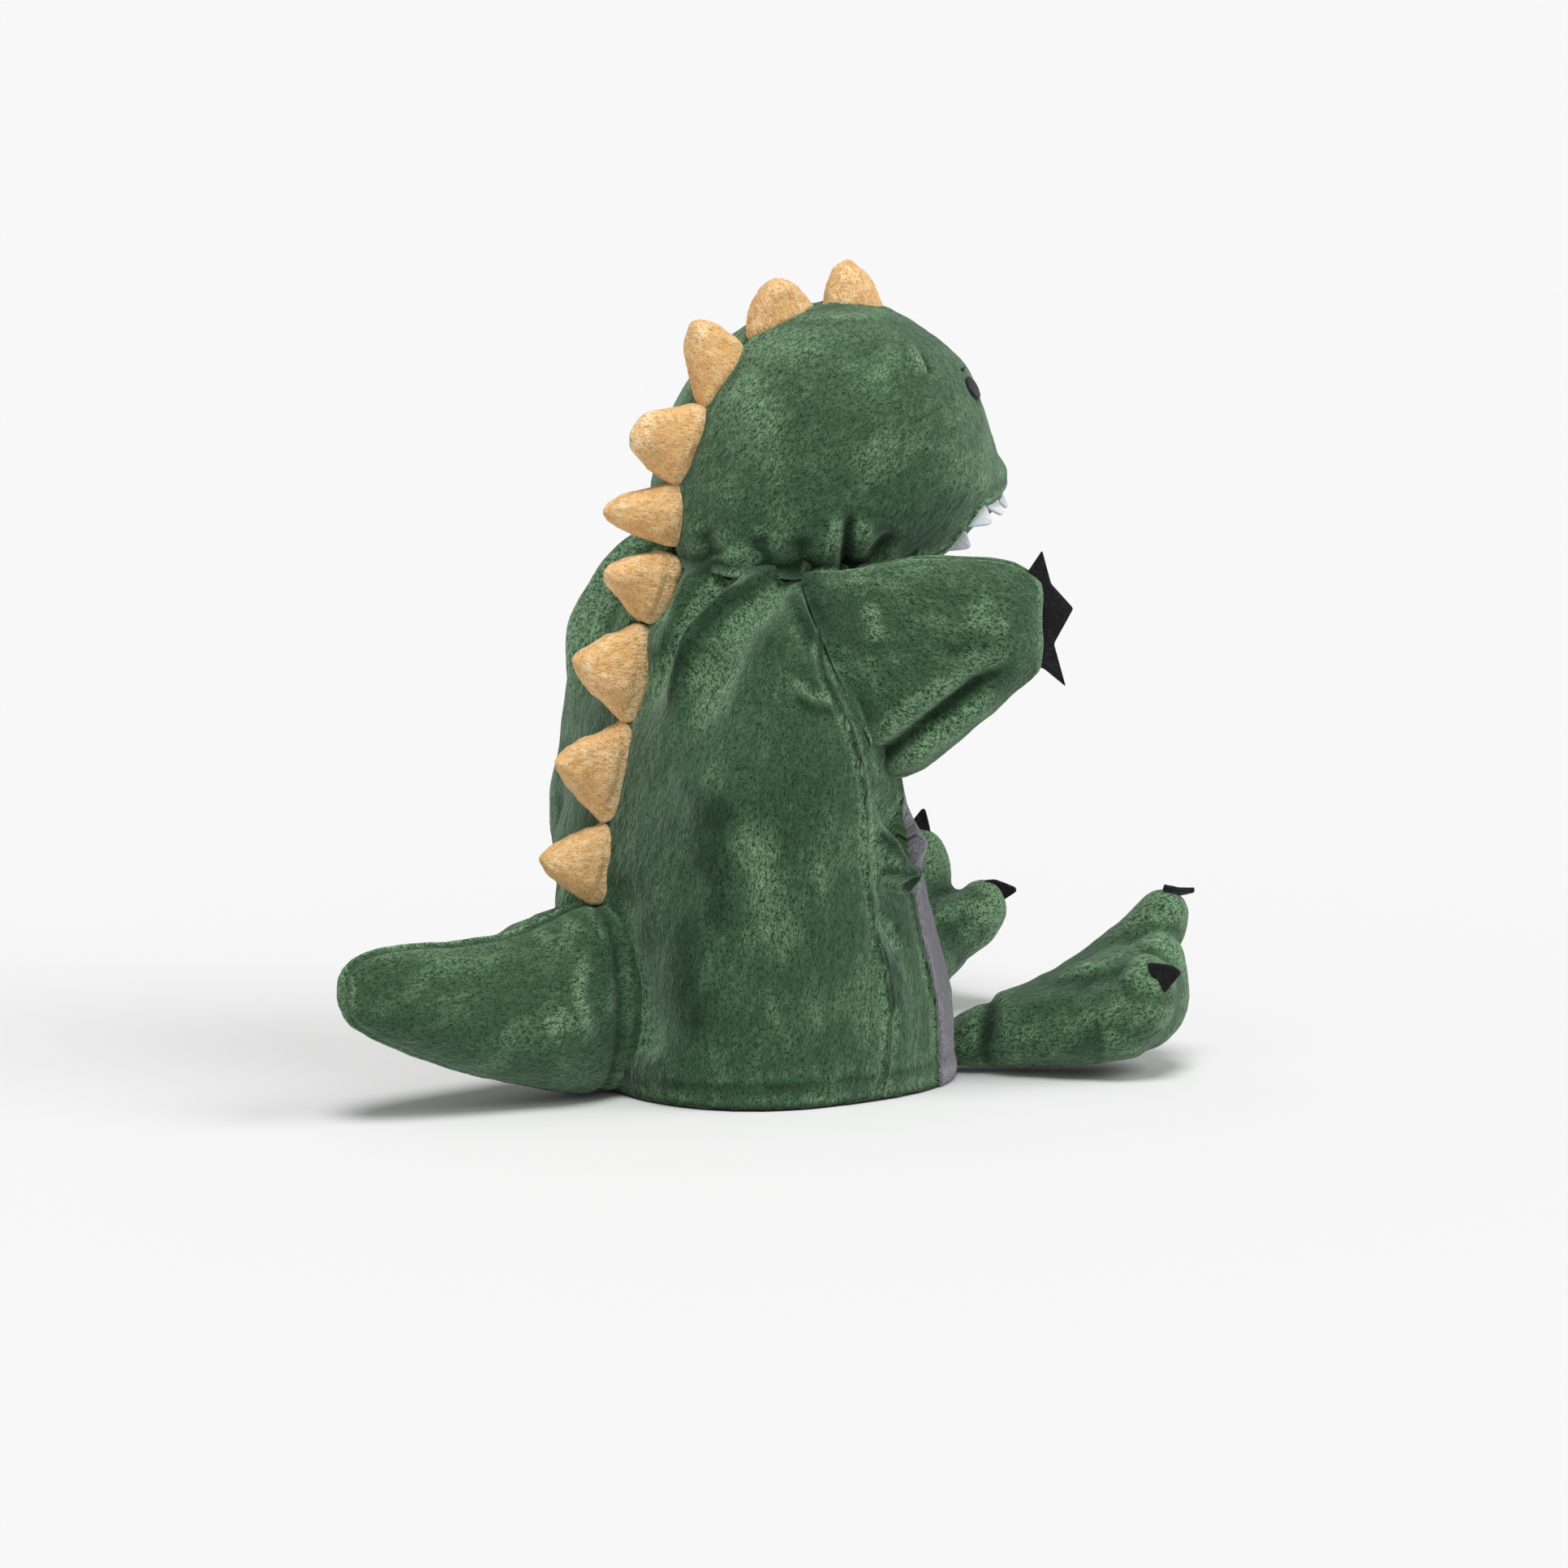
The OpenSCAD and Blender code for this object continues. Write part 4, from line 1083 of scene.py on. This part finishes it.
def build_crest():
    for k, (low, high, tip, blunt, lean) in enumerate(CREST):
        low, high, tip = (np.array(q, float) for q in (low, high, tip))
        along = (high - low) / np.linalg.norm(high - low)
        base = (low + high) / 2
        half = np.linalg.norm(high - low) / 2 + 0.8
        out = np.array([-along[1], along[0]])
        out = out if out @ (tip - base) > 0 else -out
        turn = np.linspace(0, 2 * math.pi, 73)[:-1]
        grid = []
        for f in np.concatenate([[-0.22, -0.1], np.linspace(0, 0.8, 26), [0.86, 0.91, 0.95, 0.98, 0.995]]):
            middle = base + (tip - base) * f
            share = max(1 - max(f, 0), 0.0)
            length = half * ((1 - blunt) * share ** 0.85 + blunt * math.sqrt(max(1 - max(f, 0) ** 2.4, 0)) * (
                1 - 0.28 * max(f, 0)))
            thick = 6.6 * (0.35 + 0.65 * math.sqrt(share)) * min(1, math.sqrt(share * 6)) * (
                1 - 0.15 * math.exp(-(max(f, 0) / 0.1) ** 2))
            c, s = np.cos(turn), np.sin(turn)
            place = middle + np.outer(length * np.sign(c) * np.abs(c) ** 0.9, along)
            x = thick * np.sign(s) * np.abs(s) ** 0.9 + lean * max(f, 0) ** 2 * 2
            grid.append(np.column_stack([x, place[:, 0], place[:, 1]]))
        grid = np.array(grid)
        probe = np.cross(grid[5, 1] - grid[5, 0], grid[6, 0] - grid[5, 0])
        if probe @ (grid[5, 0] - grid[5].mean(axis=0)) < 0:
            grid = grid[:, ::-1]
        spike = grid_object("crest_spike_%d_cloth" % (k + 1), grid, tan, closed=True, caps=(True, True))
        p = read_points(spike)
        rim = hump(p[:, 0], grid[..., 0].mean(), 1.0)
        push = -0.35 * rim + 0.8 * lumps(p, 9, 91 + k) + 0.3 * lumps(p, 4, 92 + k)
        give_pile(spike, (0, out[0] * 0.9, out[1] * 0.9), depth=0.4, clump=2.2, moved=push, seed=93 + k)
        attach(spike, "head" if k < HEAD_SPIKES else "torso")
        stuffed(spike, "tan_plush", 0.7, "crest_spike_%d" % (k + 1))


# ---- what stays of the frame

def dress_frame():
    for names, material in ((("neck_tape", "finger_pocket", "thumb_pocket"), lining_cloth),
                            (("palate_board", "jaw_board"), board_stuff)):
        for name in names:
            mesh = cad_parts[name].data
            mesh.materials.clear()
            mesh.materials.append(material)


build_body()
build_head()
build_face()
build_teeth()
build_mouth()
build_arms()
build_legs()
build_tail()
build_crest()
dress_frame()

bpy.context.view_layer.update()
